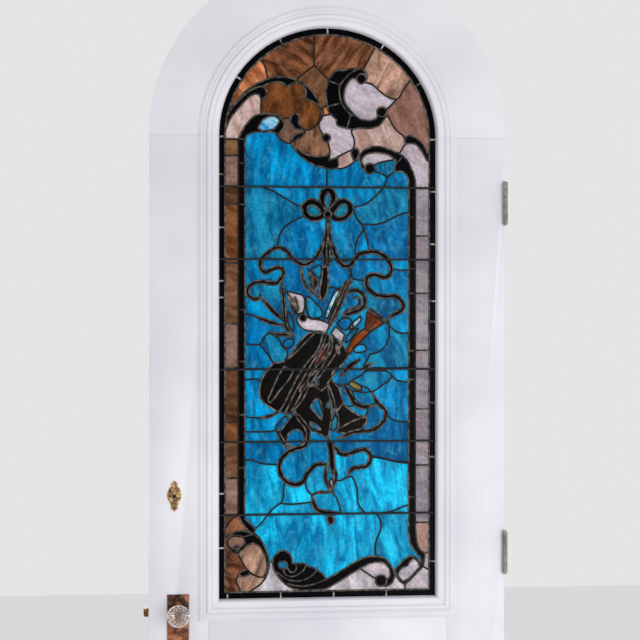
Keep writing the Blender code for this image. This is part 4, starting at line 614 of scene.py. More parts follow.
# A point in each larger pane whose kind isn't that of its area
PANE_SEEDS = {
    "black": (
        (-120, 1252), (-40, 1215), (-200, 1219), (-157, 1222), (-190, 1140), (-113, 1145), (-205, 1122),
        (-57, 1069), (10, 1048), (55, 1276), (15, 1225), (34, 1225), (15, 1180), (80, 1148), (50, 1155),
        (90, 1266), (25, 1262), (40, 1160), (28, 1150), (84, 1072), (150, 1083), (180, 1050), (207, 1015),
        (212, 1110), (-170, 145), (-120, 98), (-75, 65), (-60, 50), (-40, 60), (-60, 34), (-40, 22),
        (60, 70), (30, 48), (158, 50), (185, 78), (181, 33), (209, 150), (212, 122), (232, 95),
        (-185, 168), (-205, 185), (-215, 157), (152, 35), (90, 85), (-72, 648),
    ),
    "orange": ((-190, 1265), (-6, 1178)),
    "rust": ((-100, 1300), (-240, 90), (-235, 40)),
    "fan": ((30, 1310), (-230, 180)),
    "gable": ((-33, 1250),),
    "brown": ((-110, 1200), (-75, 1228), (-40, 1165)),
    "fruit": ((-40, 1090),),
    "clay": ((-95, 1130),),
    "tan": ((140, 1275), (-200, 100), (-185, 35), (-190, 100)),
    "mauve": ((205, 1180),),
    "blush": ((100, 1115), (-200, 1160), (42, 1060), (232, 140), (-220, 1130)),
    "white": ((85, 1210), (30, 1105), (225, 1060), (0, 1150), (125, 1070), (100, 65), (60, 35), (225, 30),
              (243, 88)),
    "grey": ((-115, 28), (-150, 25), (175, 22)),
    "low_blue": ((150, 280), (60, 320), (-150, 280)),
    "deep_blue": ((140, 360), (-160, 355), (-170, 660), (-85, 780), (25, 780), (150, 860), (-150, 585)),
    "cyan": ((140, 1046), (-160, 920), (150, 970), (-130, 600), (120, 700), (180, 620), (-130, 825),
             (-150, 730), (110, 530)),
}

# Where the blue field lies
BLUE_AREA = ((-201, 1112), (-129, 1126), (-84, 1089), (-13, 1043), (66, 1057), (84, 1064), (131, 1078),
             (170, 1050), (199, 1005), (199, 150), (230, 92), (180, 80), (163, 60), (150, 84), (115, 97),
             (45, 70), (-5, 42), (-50, 78), (-110, 114), (-142, 84), (-164, 143), (-176, 167), (-201, 192))
LOW_FIELD_TOP = 333
# Where the side strips of glass lie across the window, and up it
LEFT_STRIP, LEFT_INNER, LEFT_RISE = (-249, -217), (-217, -201), (190, 1108)
RIGHT_STRIPS, RIGHT_RISE = (199, 249), (160, 1100)
RIGHT_INNER_EDGE, RIGHT_INNER_TOP = 215, 1000
HEAD_FROM = 500


def smooth_line(points, closed=False, step=SPLINE_STEP):
    """Points along a smooth line through the given ones, with sharp turns kept as corners."""
    marks = [Vector(p) for p in points]
    count = len(marks)
    before = [marks[i] - marks[i - 1] for i in range(count)]
    after = [marks[(i + 1) % count] - marks[i] for i in range(count)]

    def heading(i, leaving):
        edge = not closed and i in (0, count - 1)
        if edge or before[i].angle(after[i]) > CORNER_TURN:
            return (after[i] if leaving else before[i]).normalized()
        a, b = before[i], after[i]
        return (a * b.length + b * a.length).normalized()

    line = []
    for i in range(count if closed else count - 1):
        j = (i + 1) % count
        chord = after[i].length
        start, end = heading(i, True) * chord, heading(j, False) * chord
        steps = max(1, math.ceil(chord / step))
        for k in range(steps):
            t = k / steps
            line.append(marks[i] * (2 * t ** 3 - 3 * t ** 2 + 1) + marks[j] * (3 * t ** 2 - 2 * t ** 3)
                        + start * (t ** 3 - 2 * t ** 2 + t) + end * (t ** 3 - t ** 2))
    if not closed:
        line.append(marks[-1])
    return np.array([p[:] for p in line])


def ribbon_outline(width, points):
    """The closed outline of a ribbon whose ends narrow to points."""
    line = smooth_line(points)
    ahead = np.gradient(line, axis=0)
    ahead /= np.linalg.norm(ahead, axis=1)[:, None]
    across = np.stack((-ahead[:, 1], ahead[:, 0]), axis=1)
    run = np.arange(len(line))
    taper = np.clip(np.minimum(run, run[::-1]) / RIBBON_TAPER_STEPS, RIBBON_TIP, 1.0)
    half = (width / 2) * taper[:, None]
    return np.vstack((line + across * half, (line - across * half)[::-1]))


def circle_line(u, v, radius):
    turns = np.linspace(0, 2 * math.pi, DROP_SIDES, endpoint=False)
    return np.stack((u + radius * np.cos(turns), v + radius * np.sin(turns)), axis=1)


def inside(polygon, points):
    """Which of the points lie inside the polygon."""
    u, v = points[:, 0], points[:, 1]
    hit = np.zeros(len(points), bool)
    for (au, av), (bu, bv) in zip(polygon, np.roll(polygon, -1, axis=0)):
        crosses = (av > v) != (bv > v)
        if crosses.any():
            at = au + (v - av) * (bu - au) / (bv - av + NO_AREA)
            hit ^= crosses & (u < at)
    return hit


def window_outline(half, foot):
    """The arched outline of the window at a distance from its centreline, anticlockwise."""
    turns = np.radians(np.linspace(0, 180, WINDOW_ARCH_STEPS + 1))
    arch = np.stack((half * np.cos(turns), SPRING_MM + half * np.sin(turns)), axis=1)
    sides = np.linspace(SPRING_MM, foot, WINDOW_SIDE_STEPS + 1)
    left = np.stack((np.full(len(sides), -half), sides), axis=1)[1:]
    base = np.array([(u, foot) for u in np.linspace(-half, half, WINDOW_FOOT_STEPS + 1)])[1:]
    right = np.stack((np.full(len(sides), half), sides[::-1]), axis=1)[1:-1]
    return np.vstack((arch, left, base, right))


def border_leads():
    """The ring line, the joints of the black border and those of the side strips."""
    lines = [(window_outline(RING, BORDER_FOOT), True)]
    for degrees in RING_JOINT_DEGREES:
        turn = math.radians(degrees)
        ray = np.array((math.cos(turn), math.sin(turn)))
        reach = (RING - LEAD_LAP, GLASS_EDGE + LEAD_LAP)
        lines.append((np.array([(0, SPRING_MM) + ray * r for r in reach]), False))
    for side, heights in ((-1, LEFT_BORDER_JOINTS), (1, RIGHT_BORDER_JOINTS)):
        for v in heights:
            ends = (side * (RING - LEAD_LAP), v), (side * (GLASS_EDGE + LEAD_LAP), v)
            lines.append((np.array(ends), False))
    for u in FOOT_BORDER_JOINTS:
        lines.append((np.array(((u, BORDER_FOOT + LEAD_LAP), (u, GLASS_FOOT - LEAD_LAP))), False))
    for inner, outer, heights in STRIP_JOINTS:
        for v in heights:
            lines.append((np.array(((inner - LEAD_LAP, v), (outer + LEAD_LAP, v))), False))
    return lines


def meet(lines, fixed):
    """Moves the ends of open lines on to the nearest other line, where one is close."""
    runs = [np.vstack((line, line[:1])) if closed else line for line, closed in lines] + list(fixed)
    owner = np.concatenate([np.full(len(run) - 1, i) for i, run in enumerate(runs)])
    start = np.vstack([run[:-1] for run in runs])
    end = np.vstack([run[1:] for run in runs])
    first = np.cumsum([0] + [len(run) - 1 for run in runs])
    for i, (line, closed) in enumerate(lines):
        if closed:
            continue
        for tip, near in ((0, 1), (-1, -2)):
            place = line[tip].copy()
            span = end - start
            share = np.clip(((place - start) * span).sum(1) / ((span ** 2).sum(1) + NO_AREA), 0, 1)
            foot = start + span * share[:, None]
            gap = np.linalg.norm(foot - place, axis=1)
            gap[owner == i] = OUT_OF_REACH
            best = int(gap.argmin())
            if gap[best] < END_SNAP:
                onward = foot[best] - line[near]
                onward /= np.linalg.norm(onward) + NO_LENGTH
                line[tip] = foot[best] + onward * END_OVERRUN
                if tip == 0:
                    start[first[i]] = line[tip]
                else:
                    end[first[i + 1] - 1] = line[tip]
    return lines


def join_up(parent, i):
    while parent[i] != i:
        parent[i] = parent[parent[i]]
        i = parent[i]
    return i


def cut_panes():
    """Cuts the window along its leading. Gives the points, the triangles, the pane that each
    triangle belongs to, which triangles lie in black ribbons, and the lines between panes."""
    shapes = [ribbon_outline(width, points) for width, points in RIBBONS]
    shapes += [circle_line(*drop) for drop in DROPS]
    lines = [(smooth_line(points), False) for points in LEADS]
    lines += [(smooth_line(points, True), True) for _, points in FIGURES]
    lines += [(shape, True) for shape in shapes]
    edge = window_outline(GLASS_EDGE, GLASS_FOOT)
    border = border_leads()
    ring = border[0][0]
    lines = meet(lines, [np.vstack((ring, ring[:1]))]) + border + [(edge, True)]
    points, edges = [], []
    for line, closed in lines:
        base = len(points)
        points += [Vector(p) for p in line]
        edges += [(base + k, base + k + 1) for k in range(len(line) - 1)]
        if closed:
            edges.append((base + len(line) - 1, base))
    where, cut_edges, faces, _, from_edges, _ = delaunay_2d_cdt(points, edges, [], CUT_MODE, CUT_NEAR, True)
    where = np.array([p[:] for p in where])
    faces = np.array([f[:] for f in faces])
    drawn = {tuple(sorted(e)) for e, source in zip(cut_edges, from_edges) if source}
    middles = where[faces].mean(axis=1)
    keep = inside(edge, middles)
    faces, middles = faces[keep], middles[keep]
    black = np.zeros(len(faces), bool)
    for shape in shapes:
        low, high = shape.min(0), shape.max(0)
        near = ((middles > low) & (middles < high)).all(axis=1)
        black[near] |= inside(shape, middles[near])
    sides = {}
    for f, (a, b, c) in enumerate(faces):
        for pair in ((a, b), (b, c), (c, a)):
            sides.setdefault(tuple(sorted(pair)), []).append(f)
    parent = list(range(len(faces)))
    for pair, owners in sides.items():
        if len(owners) == 2 and (pair not in drawn or (black[owners[0]] and black[owners[1]])):
            parent[join_up(parent, owners[0])] = join_up(parent, owners[1])
    a, b, c = where[faces[:, 0]], where[faces[:, 1]], where[faces[:, 2]]
    area = np.abs((b[:, 0] - a[:, 0]) * (c[:, 1] - a[:, 1]) - (b[:, 1] - a[:, 1]) * (c[:, 0] - a[:, 0])) / 2
    for _ in range(SLIVER_ROUNDS):
        total, shared = {}, {}
        for f in range(len(faces)):
            total[join_up(parent, f)] = total.get(join_up(parent, f), 0) + area[f]
        for pair, owners in sides.items():
            if len(owners) == 2:
                one, two = (join_up(parent, f) for f in owners)
                if one != two:
                    length = float(np.linalg.norm(where[pair[0]] - where[pair[1]]))
                    for here, there in ((one, two), (two, one)):
                        if total[here] < SLIVER_AREA:
                            shared.setdefault(here, {}).setdefault(there, 0)
                            shared[here][there] += length
        if not shared:
            break
        for small, others in shared.items():
            best = max(others, key=others.get)
            parent[join_up(parent, small)] = join_up(parent, best)
    pane = np.array([join_up(parent, f) for f in range(len(faces))])
    leads = [pair for pair, owners in sides.items()
             if len(owners) == 2 and pane[owners[0]] != pane[owners[1]]]
    return where, faces, pane, black, area, middles, leads


def kind_by_place(u, v):
    """The kind of glass in a pane that no seed marks, from where its middle lies."""
    out = math.hypot(u, v - SPRING_MM) if v > SPRING_MM else abs(u)
    place = np.array([(u, v)])
    if out > RING or v < BORDER_FOOT:
        return "black"
    if LEFT_RISE[0] < v < LEFT_RISE[1]:
        if LEFT_STRIP[0] < u < LEFT_STRIP[1]:
            return "strip_brown"
        if LEFT_INNER[0] < u < LEFT_INNER[1]:
            return "black"
    if RIGHT_STRIPS[0] < u < RIGHT_STRIPS[1] and RIGHT_RISE[0] < v < RIGHT_RISE[1]:
        return "black" if u < RIGHT_INNER_EDGE and v < RIGHT_INNER_TOP else "strip_white"
    for kind, points in reversed(FIGURES):
        if inside(np.array(points), place)[0]:
            return kind
    if inside(np.array(BLUE_AREA), place)[0]:
        return "low_blue" if v < LOW_FIELD_TOP else "blue"
    return "tan" if v > HEAD_FROM else "white"


def choose_glass(pane, black, area, middles):
    """The kind of glass of each pane."""
    kinds = {}
    for p in set(pane.tolist()):
        members = np.flatnonzero(pane == p)
        biggest = members[area[members].argmax()]
        if area[members][black[members]].sum() > 0.5 * area[members].sum():
            kinds[p] = "black"
        else:
            kinds[p] = kind_by_place(*middles[biggest])
    return kinds


def pane_at(where, faces, pane, u, v):
    """The pane that a place of the drawing lies in."""
    a, b, c = (where[faces[:, k]] for k in range(3))
    place = np.array((u, v))

    def side(p, q):
        return (q[:, 0] - p[:, 0]) * (place[1] - p[:, 1]) - (q[:, 1] - p[:, 1]) * (place[0] - p[:, 0])

    one, two, three = side(a, b), side(b, c), side(c, a)
    hit = np.flatnonzero(((one >= 0) & (two >= 0) & (three >= 0)) | ((one <= 0) & (two <= 0) & (three <= 0)))
    return int(pane[hit[0]])


def pane_slabs(name, chosen, kinds, where, faces, pane):
    """One mesh of separate glass slabs. Each pane's faces carry its colours and its streaks' turn.
    A pane's number seeds its draws, which come in this order: shade, turn, drift."""
    places, polygons, base, streak, turn, drift = [], [], [], [], [], []
    for p in chosen:
        rng = random.Random(int(p))
        _, body, milk, vary, lean = GLASS[kinds[p]]
        members = faces[pane == p]
        marks, local = np.unique(members, return_inverse=True)
        local = local.reshape(members.shape)
        flat = where[marks]
        border = {}
        for a, b, c in local.tolist():
            for pair in ((a, b), (b, c), (c, a)):
                back = (pair[1], pair[0])
                if back in border:
                    del border[back]
                else:
                    border[pair] = True
        inward = np.zeros_like(flat)
        for a, b in border:
            run = flat[b] - flat[a]
            normal = np.array((-run[1], run[0])) / (np.linalg.norm(run) + NO_LENGTH)
            inward[a] += normal
            inward[b] += normal
        size = np.linalg.norm(inward, axis=1)
        turned_in = size > NO_SIZE
        inward[turned_in] /= size[turned_in][:, None]
        flat = flat + inward * HEART_HALF
        offset = len(places)
        count = len(flat)
        front = [(u * MM, v * MM, GLASS_HALF) for u, v in flat]
        places += front + [(x, y, -GLASS_HALF) for x, y, _ in front]
        made = [(offset + a, offset + b, offset + c) for a, b, c in local.tolist()]
        made += [(offset + count + c, offset + count + b, offset + count + a) for a, b, c in local.tolist()]
        made += [(offset + a, offset + count + a, offset + count + b, offset + b) for a, b in border]
        polygons += made
        shade = 1.0 + rng.uniform(-vary, vary)
        codes = (body, milk)
        if kinds[p] == "strip_brown":
            level = sum(v < flat[:, 1].mean() for v in STRIP_JOINTS[0][2])
            codes = STRIP_BROWNS[level % len(STRIP_BROWNS)]
        one, two = ([c * shade for c in srgb(code)[:3]] + [1.0] for code in codes)
        angle = math.radians(lean + rng.uniform(-STREAK_SWAY, STREAK_SWAY))
        base += one * len(made)
        streak += two * len(made)
        turn += [angle] * len(made)
        drift += [rng.uniform(0, STREAK_DRIFT)] * len(made)
    mesh = bpy.data.meshes.new(name)
    mesh.from_pydata(places, [], polygons)
    for label, kind, values in (("pane_base", "FLOAT_COLOR", base), ("pane_streak", "FLOAT_COLOR", streak)):
        mesh.attributes.new(label, kind, "FACE").data.foreach_set("color", values)
    for label, values in (("pane_turn", turn), ("pane_drift", drift)):
        mesh.attributes.new(label, "FLOAT", "FACE").data.foreach_set("value", values)
    mesh.transform(DRAWING_TO_DOOR)
    return mesh


# Node trees that grow swept and repeated pieces


def new_tree(name, inputs):
    tree = bpy.data.node_groups.new(name, "GeometryNodeTree")
    tree.interface.new_socket("Geometry", in_out="INPUT", socket_type="NodeSocketGeometry")
    for label, kind, value in inputs:
        socket = tree.interface.new_socket(label, in_out="INPUT", socket_type=kind)
        if value is not None:
            socket.default_value = value
    tree.interface.new_socket("Geometry", in_out="OUTPUT", socket_type="NodeSocketGeometry")
    return tree, add(tree, "NodeGroupInput")


def close_tree(tree, geometry, finish):
    real = add(tree, "GeometryNodeRealizeInstances", None, {"Geometry": geometry})
    dressed = add(tree, "GeometryNodeSetMaterial", None, {"Geometry": real.outputs[0], "Material": finish})
    add(tree, "NodeGroupOutput", None, {"Geometry": dressed.outputs[0]})
    return tree


def sweep_nodes(tree, given):
    """Sweeps the section along the path. The path's mitre value shears its ends."""
    path = add(tree, "GeometryNodeMeshToCurve", None, {"Mesh": given.outputs["Geometry"]})
    upright = add(tree, "GeometryNodeSetCurveNormal", {"mode": "Z_UP"}, {"Curve": path.outputs[0]})
    ahead = add(tree, "GeometryNodeInputTangent")
    marked = add(tree, "GeometryNodeStoreNamedAttribute", {"data_type": "FLOAT_VECTOR", "domain": "POINT"},
                 {"Geometry": upright.outputs[0], "Name": "ahead", "Value": ahead.outputs[0]})
    section = add(tree, "GeometryNodeObjectInfo", None, {"Object": given.outputs["Section"]})
    rim = add(tree, "GeometryNodeMeshToCurve", None, {"Mesh": section.outputs["Geometry"]})
    swept = add(tree, "GeometryNodeCurveToMesh", None,
                {"Curve": marked.outputs[0], "Profile Curve": rim.outputs[0], "Fill Caps": True})
    out = add(tree, "GeometryNodeInputNamedAttribute", {"data_type": "FLOAT"}, {"Name": "out"})
    mitre = add(tree, "GeometryNodeInputNamedAttribute", {"data_type": "FLOAT"}, {"Name": "mitre"})
    along = add(tree, "GeometryNodeInputNamedAttribute", {"data_type": "FLOAT_VECTOR"}, {"Name": "ahead"})
    reach = add(tree, "ShaderNodeMath", {"operation": "MULTIPLY"},
                {0: out.outputs[0], 1: mitre.outputs[0]})
    shear = add(tree, "ShaderNodeVectorMath", {"operation": "SCALE"},
                {0: along.outputs[0], "Scale": reach.outputs[0]})
    return add(tree, "GeometryNodeSetPosition", None,
               {"Geometry": swept.outputs[0], "Offset": shear.outputs[0]})


def moulding_tree():
    tree, given = new_tree("swept_length", (("Section", "NodeSocketObject", None),
                                            ("Finish", "NodeSocketMaterial", None)))
    swept = sweep_nodes(tree, given)
    return close_tree(tree, swept.outputs[0], given.outputs["Finish"])


def came_tree():
    """Lead cames along the panes' edges, with a blob of solder on each joint."""
    tree, given = new_tree("came_network", (
        ("Section", "NodeSocketObject", None),
        ("Finish", "NodeSocketMaterial", None),
        ("Solder radius", "NodeSocketFloat", SOLDER_RADIUS),
        ("Solder flatness", "NodeSocketFloat", SOLDER_HALF_DEPTH / SOLDER_RADIUS),
        ("Seed", "NodeSocketInt", SOLDER_SEED),
    ))
    swept = sweep_nodes(tree, given)
    blob = add(tree, "GeometryNodeMeshIcoSphere", None,
               {"Radius": given.outputs["Solder radius"], "Subdivisions": 2})
    joint = add(tree, "GeometryNodeInputNamedAttribute", {"data_type": "BOOLEAN"}, {"Name": "joint"})
    spread = add(tree, "FunctionNodeRandomValue", {"data_type": "FLOAT"},
                 {"Min": SOLDER_SPREAD[0], "Max": SOLDER_SPREAD[1], "Seed": given.outputs["Seed"]})
    spin = add(tree, "FunctionNodeRandomValue", {"data_type": "FLOAT"},
               {"Min": 0.0, "Max": SOLDER_SPIN, "Seed": given.outputs["Seed"]})
    size = add(tree, "ShaderNodeCombineXYZ", None,
               {"X": spread.outputs[1], "Y": spread.outputs[1], "Z": given.outputs["Solder flatness"]})
    turn = add(tree, "ShaderNodeCombineXYZ", None, {"Z": spin.outputs[1]})
    blobs = add(tree, "GeometryNodeInstanceOnPoints", None, {
        "Points": given.outputs["Geometry"], "Selection": joint.outputs[0], "Instance": blob.outputs[0],
        "Rotation": turn.outputs[0], "Scale": size.outputs[0]})
    both = tree.nodes.new("GeometryNodeJoinGeometry")
    tree.links.new(swept.outputs[0], both.inputs[0])
    tree.links.new(blobs.outputs[0], both.inputs[0])
    return close_tree(tree, both.outputs[0], given.outputs["Finish"])


def screw_tree():
    """A screw head on every point, turned by the point's own turn."""
    tree, given = new_tree("screw_heads", (("Screw", "NodeSocketObject", None),
                                           ("Finish", "NodeSocketMaterial", None)))
    turn = add(tree, "GeometryNodeInputNamedAttribute", {"data_type": "FLOAT_VECTOR"}, {"Name": "turn"})
    screw = add(tree, "GeometryNodeObjectInfo", None, {"Object": given.outputs["Screw"]})
    heads = add(tree, "GeometryNodeInstanceOnPoints", None, {
        "Points": given.outputs["Geometry"], "Instance": screw.outputs["Geometry"],
        "Rotation": turn.outputs[0]})
    return close_tree(tree, heads.outputs[0], given.outputs["Finish"])


def linked(name, mesh):
    made = bpy.data.objects.new(name, mesh)
    bpy.context.scene.collection.objects.link(made)
    return made


def grown(name, mesh, tree, values):
    """Runs a tree on a mesh and keeps the result as a plain mesh."""
    host = linked(name, mesh)
    grow = host.modifiers.new("grow", "NODES")
    grow.node_group = tree
    for item in tree.interface.items_tree:
        if item.item_type == "SOCKET" and item.in_out == "INPUT" and item.name in values:
            grow[item.identifier] = values[item.name]
    bpy.context.view_layer.update()
    graph = bpy.context.evaluated_depsgraph_get()
    result = bpy.data.meshes.new_from_object(host.evaluated_get(graph), depsgraph=graph)
    host.modifiers.remove(grow)
    host.data = result
    return host


def faces_out(mesh):
    work = bmesh.new()
    work.from_mesh(mesh)
    bmesh.ops.remove_doubles(work, verts=work.verts, dist=WELD)
    bmesh.ops.recalc_face_normals(work, faces=work.faces)
    work.to_mesh(mesh)
    work.free()


def path_mesh(name, points, closed=False, mitres=(0.0, 0.0)):
    mesh = bpy.data.meshes.new(name)
    edges = [(k, k + 1) for k in range(len(points) - 1)]
    if closed:
        edges.append((len(points) - 1, 0))
    mesh.from_pydata([(p[0], p[1], p[2] if len(p) > 2 else 0.0) for p in points], edges, [])
    ends = [0.0] * len(points)
    ends[0], ends[-1] = mitres
    mesh.attributes.new("mitre", "FLOAT", "POINT").data.foreach_set("value", ends)
    return mesh


def section_object(name, points):
    """A closed section in the sweep's own plane: x across the path, y into the door."""
    mesh = path_mesh(name, points, closed=True)
    mesh.attributes.new("out", "FLOAT", "POINT").data.foreach_set("value", [p[0] for p in points])
    return linked(name, mesh)


def dress(piece, finish, body="door", replaces=(), angle=35):
    """Gives a piece its finish and its place in the record."""
    mesh = piece.data
    mesh.materials.clear()
    mesh.materials.append(finish)
    mesh.shade_smooth()
    mesh.set_sharp_from_angle(angle=math.radians(angle))
    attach(piece, body)
    if replaces:
        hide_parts(*replaces)


def eased_copy(node, name, width, segments=2, angle=32):
    """A copy of a solid with its faces merged and its edges eased."""
    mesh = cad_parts[node].data.copy()
    work = bmesh.new()
    work.from_mesh(mesh)
    bmesh.ops.remove_doubles(work, verts=work.verts, dist=WELD)
    bmesh.ops.dissolve_limit(work, angle_limit=math.radians(1), verts=work.verts, edges=work.edges)
    sharp = [e for e in work.edges if len(e.link_faces) == 2 and e.calc_face_angle(0) > math.radians(angle)]
    bmesh.ops.bevel(work, geom=sharp, offset=width, segments=segments, affect="EDGES", clamp_overlap=True,
                    profile=0.5)
    bmesh.ops.recalc_face_normals(work, faces=work.faces)
    work.to_mesh(mesh)
    work.free()
    mesh.name = name
    return linked(name, mesh)


# Woodwork


def moulding_section(facing, seat):
    """The glazing moulding's section, finer than the solid's and within it."""
    steps = [(0.0, seat)] + [(out, HALF_THICKNESS + rise) for out, rise in MOULDING_STEPS]
    back, rise = MOULDING_BACK
    steps += [(MOULDING_REACH, HALF_THICKNESS + rise), (back, HALF_THICKNESS + rise), (back, seat)]
    return [(out, -deep * facing) for out, deep in steps]


def arch_points(lift):
    """The sight edge's half circle, from the right over to the left."""
    turns = [math.pi * k / ARCH_STEPS for k in range(ARCH_STEPS + 1)]
    return [(HALF_SIGHT * math.cos(t), SPRING + lift + HALF_SIGHT * math.sin(t)) for t in turns]


def make_moulding(node, tree, section, points, mitres):
    path = path_mesh(node + "_painted", points, mitres=mitres)
    piece = grown(node + "_painted", path, tree, {"Section": section, "Finish": PAINT["up"]})
    piece.data.transform(DRAWING_TO_DOOR)
    faces_out(piece.data)
    along = "across" if node.endswith(("bottom", "top")) else "up"
    dress(piece, PAINT[along], replaces=[node], angle=28)


def make_mouldings(tree):
    gap = JOINT_GAP
    low, high = 0.0, SPRING - gap
    arch = arch_points(gap)
    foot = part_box("panel_moulding_room_bottom")[0].z - SIGHT_Z + MOULDING_REACH
    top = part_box("panel_moulding_room_top")[1].z - SIGHT_Z - MOULDING_REACH
    for side, facing in (("room", 1), ("street", -1)):
        seat = CAME_HALF_DEPTH + GLAZING_SEAT_GAP
        glazing = section_object("glazing_section_" + side, moulding_section(facing, seat))
        raised = section_object("panel_section_" + side, moulding_section(facing, PANEL_SEAT))
        h = HALF_SIGHT
        for place, points, mitres in (
            ("left", ((-h, high), (-h, low + gap)), (0, 1)),
            ("right", ((h, low + gap), (h, high)), (-1, 0)),
            ("bottom", ((-h + gap, low), (h - gap, low)), (-1, 1)),
            ("arch", arch, ARCH_SQUARE),
        ):
            make_moulding(f"glazing_moulding_{side}_{place}", tree, glazing, points, mitres)
        for place, points in (
            ("left", ((-h, top - gap), (-h, foot + gap))),
            ("right", ((h, foot + gap), (h, top - gap))),
            ("bottom", ((-h + gap, foot), (h - gap, foot))),
            ("top", ((h - gap, top), (-h + gap, top))),
        ):
            make_moulding(f"panel_moulding_{side}_{place}", tree, raised, points, (-1, 1))
        bpy.data.objects.remove(glazing)
        bpy.data.objects.remove(raised)


def make_woodwork(tree):
    for node, along in (("lock_stile", "up"), ("hinge_stile", "up"), ("lock_rail", "across"),
                        ("bottom_rail", "across"), ("lower_panel", "up")):
        piece = eased_copy(node, node + "_painted", PAINTED_EDGE)
        dress(piece, PAINT[along], replaces=[node])
    inner = HALF_OPENING - HALF_SIGHT
    outer = inner + (HINGE_STILE[1].x - HINGE_STILE[0].x) - HEAD_CLEARANCE
    deep, ease = HALF_THICKNESS, PAINTED_EDGE
    corners = [(inner, -deep + ease), (inner + ease, -deep), (outer - ease, -deep), (outer, -deep + ease),
               (outer, deep - ease), (outer - ease, deep), (inner + ease, deep), (inner, deep - ease)]
    section = section_object("head_section", corners)
    path = path_mesh("arched_head_painted", arch_points(HEAD_LIFT), mitres=ARCH_SQUARE)
    piece = grown("arched_head_painted", path, tree, {"Section": section, "Finish": PAINT["up"]})
    piece.data.transform(DRAWING_TO_DOOR)
    faces_out(piece.data)
    dress(piece, PAINT["around"], replaces=["arched_head"], angle=28)
    bpy.data.objects.remove(section)


# Leaded panel


def make_cames(where, leads, highlight_share, slim):
    """The came network: pale with solder on the border's joints, with a painted highlight beside dark glass
    and along the ring, and slim beside dark glass.
    """
    used = sorted({i for pair in leads for i in pair})
    index = {old: new for new, old in enumerate(used)}
    edges = [(index[a], index[b]) for a, b in leads]
    mesh = bpy.data.meshes.new("lead_came_network")
    mesh.from_pydata([(where[i][0] * MM, where[i][1] * MM, 0.0) for i in used], edges, [])
    degree = np.bincount(np.array(edges).ravel(), minlength=len(used))
    flat = where[used]
    u, v = flat[:, 0], flat[:, 1]
    radius = np.where(v > SPRING_MM, np.hypot(u, v - SPRING_MM), np.abs(u))
    on_ring = (radius > RING - RING_BAND) | (v < BORDER_FOOT + RING_BAND)
    bright = highlight_share[used]
    # A painted highlight along the ring, and pale solder on the joints across the border
    bright[on_ring] = RING_HIGHLIGHT
    bright[(radius > RING + RING_BAND) | (v < BORDER_FOOT - RING_BAND)] = 1.0
    mesh.attributes.new("joint", "BOOLEAN", "POINT").data.foreach_set("value", degree != 2)
    thick = slim[used]
    thick[on_ring] = 1.0
    mesh.attributes.new("radius", "FLOAT", "POINT").data.foreach_set("value", thick)
    mesh.attributes.new("bright", "FLOAT", "POINT").data.foreach_set("value", bright)
    mesh.attributes.new("mitre", "FLOAT", "POINT").data.foreach_set("value", np.zeros(len(used)))
    section = section_object("came_section", CAME_SECTION)
    piece = grown("lead_came_network", mesh, came_tree(), {
        "Section": section, "Finish": LEAD, "Solder radius": SOLDER_RADIUS,
        "Solder flatness": SOLDER_HALF_DEPTH / SOLDER_RADIUS})
    bpy.data.objects.remove(section)
    piece.data.transform(DRAWING_TO_DOOR)
    faces_out(piece.data)
    dress(piece, LEAD, replaces=["lead_cames"], angle=50)


def make_window():
    where, faces, pane, black, area, middles, leads = cut_panes()
    kinds = choose_glass(pane, black, area, middles)
    for kind, seeds in PANE_SEEDS.items():
        for u, v in seeds:
            kinds[pane_at(where, faces, pane, u, v)] = kind
    for piece, slot, nodes in GLASS_PIECES:
        chosen = sorted(p for p, kind in kinds.items() if GLASS[kind][0] == piece)
        mesh = pane_slabs(piece, chosen, kinds, where, faces, pane)
        dress(linked(piece, mesh), GLASS_FINISH[piece], replaces=nodes, angle=30)
    highlight_share, slim = np.zeros(len(where)), np.ones(len(where))
    # A painted highlight on the lead beside dark glass, where the lead is also slimmer
    for face, p in zip(faces, pane):
        if kinds[p] in DARK_GLASS_HIGHLIGHT:
            highlight_share[face] = DARK_GLASS_HIGHLIGHT[kinds[p]]
            slim[face] = SLIM[kinds[p]]
    for face, p in zip(faces, pane):
        if kinds[p].startswith("strip"):
            highlight_share[face], slim[face] = 0.0, 1.0
    make_cames(where, leads, highlight_share, slim)


def make_bars(tree):
    turns = [2 * math.pi * k / BAR_SIDES for k in range(BAR_SIDES)]
    ring = [(BAR_RADIUS * math.cos(t), BAR_RADIUS * math.sin(t)) for t in turns]
    section = section_object("bar_section", ring)
    for index in range(1, 6):
        node = f"saddle_bar_{index}"
        low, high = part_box(node)
        middle = (low + high) / 2
        name = node + "_iron"
        rng = random.Random(index)
        points = []
        for k in range(BAR_STEPS + 1):
            wander = rng.uniform(-BAR_WANDER, BAR_WANDER) if 0 < k < BAR_STEPS else 0
            points.append((low.x - CENTRE_X + (high.x - low.x) * k / BAR_STEPS, middle.z - SIGHT_Z + wander,
                           -middle.y))
        piece = grown(name, path_mesh(name, points), tree, {"Section": section, "Finish": IRON})
        piece.data.transform(DRAWING_TO_DOOR)
        faces_out(piece.data)
        dress(piece, IRON, replaces=[node])
    bpy.data.objects.remove(section)


# Knobs


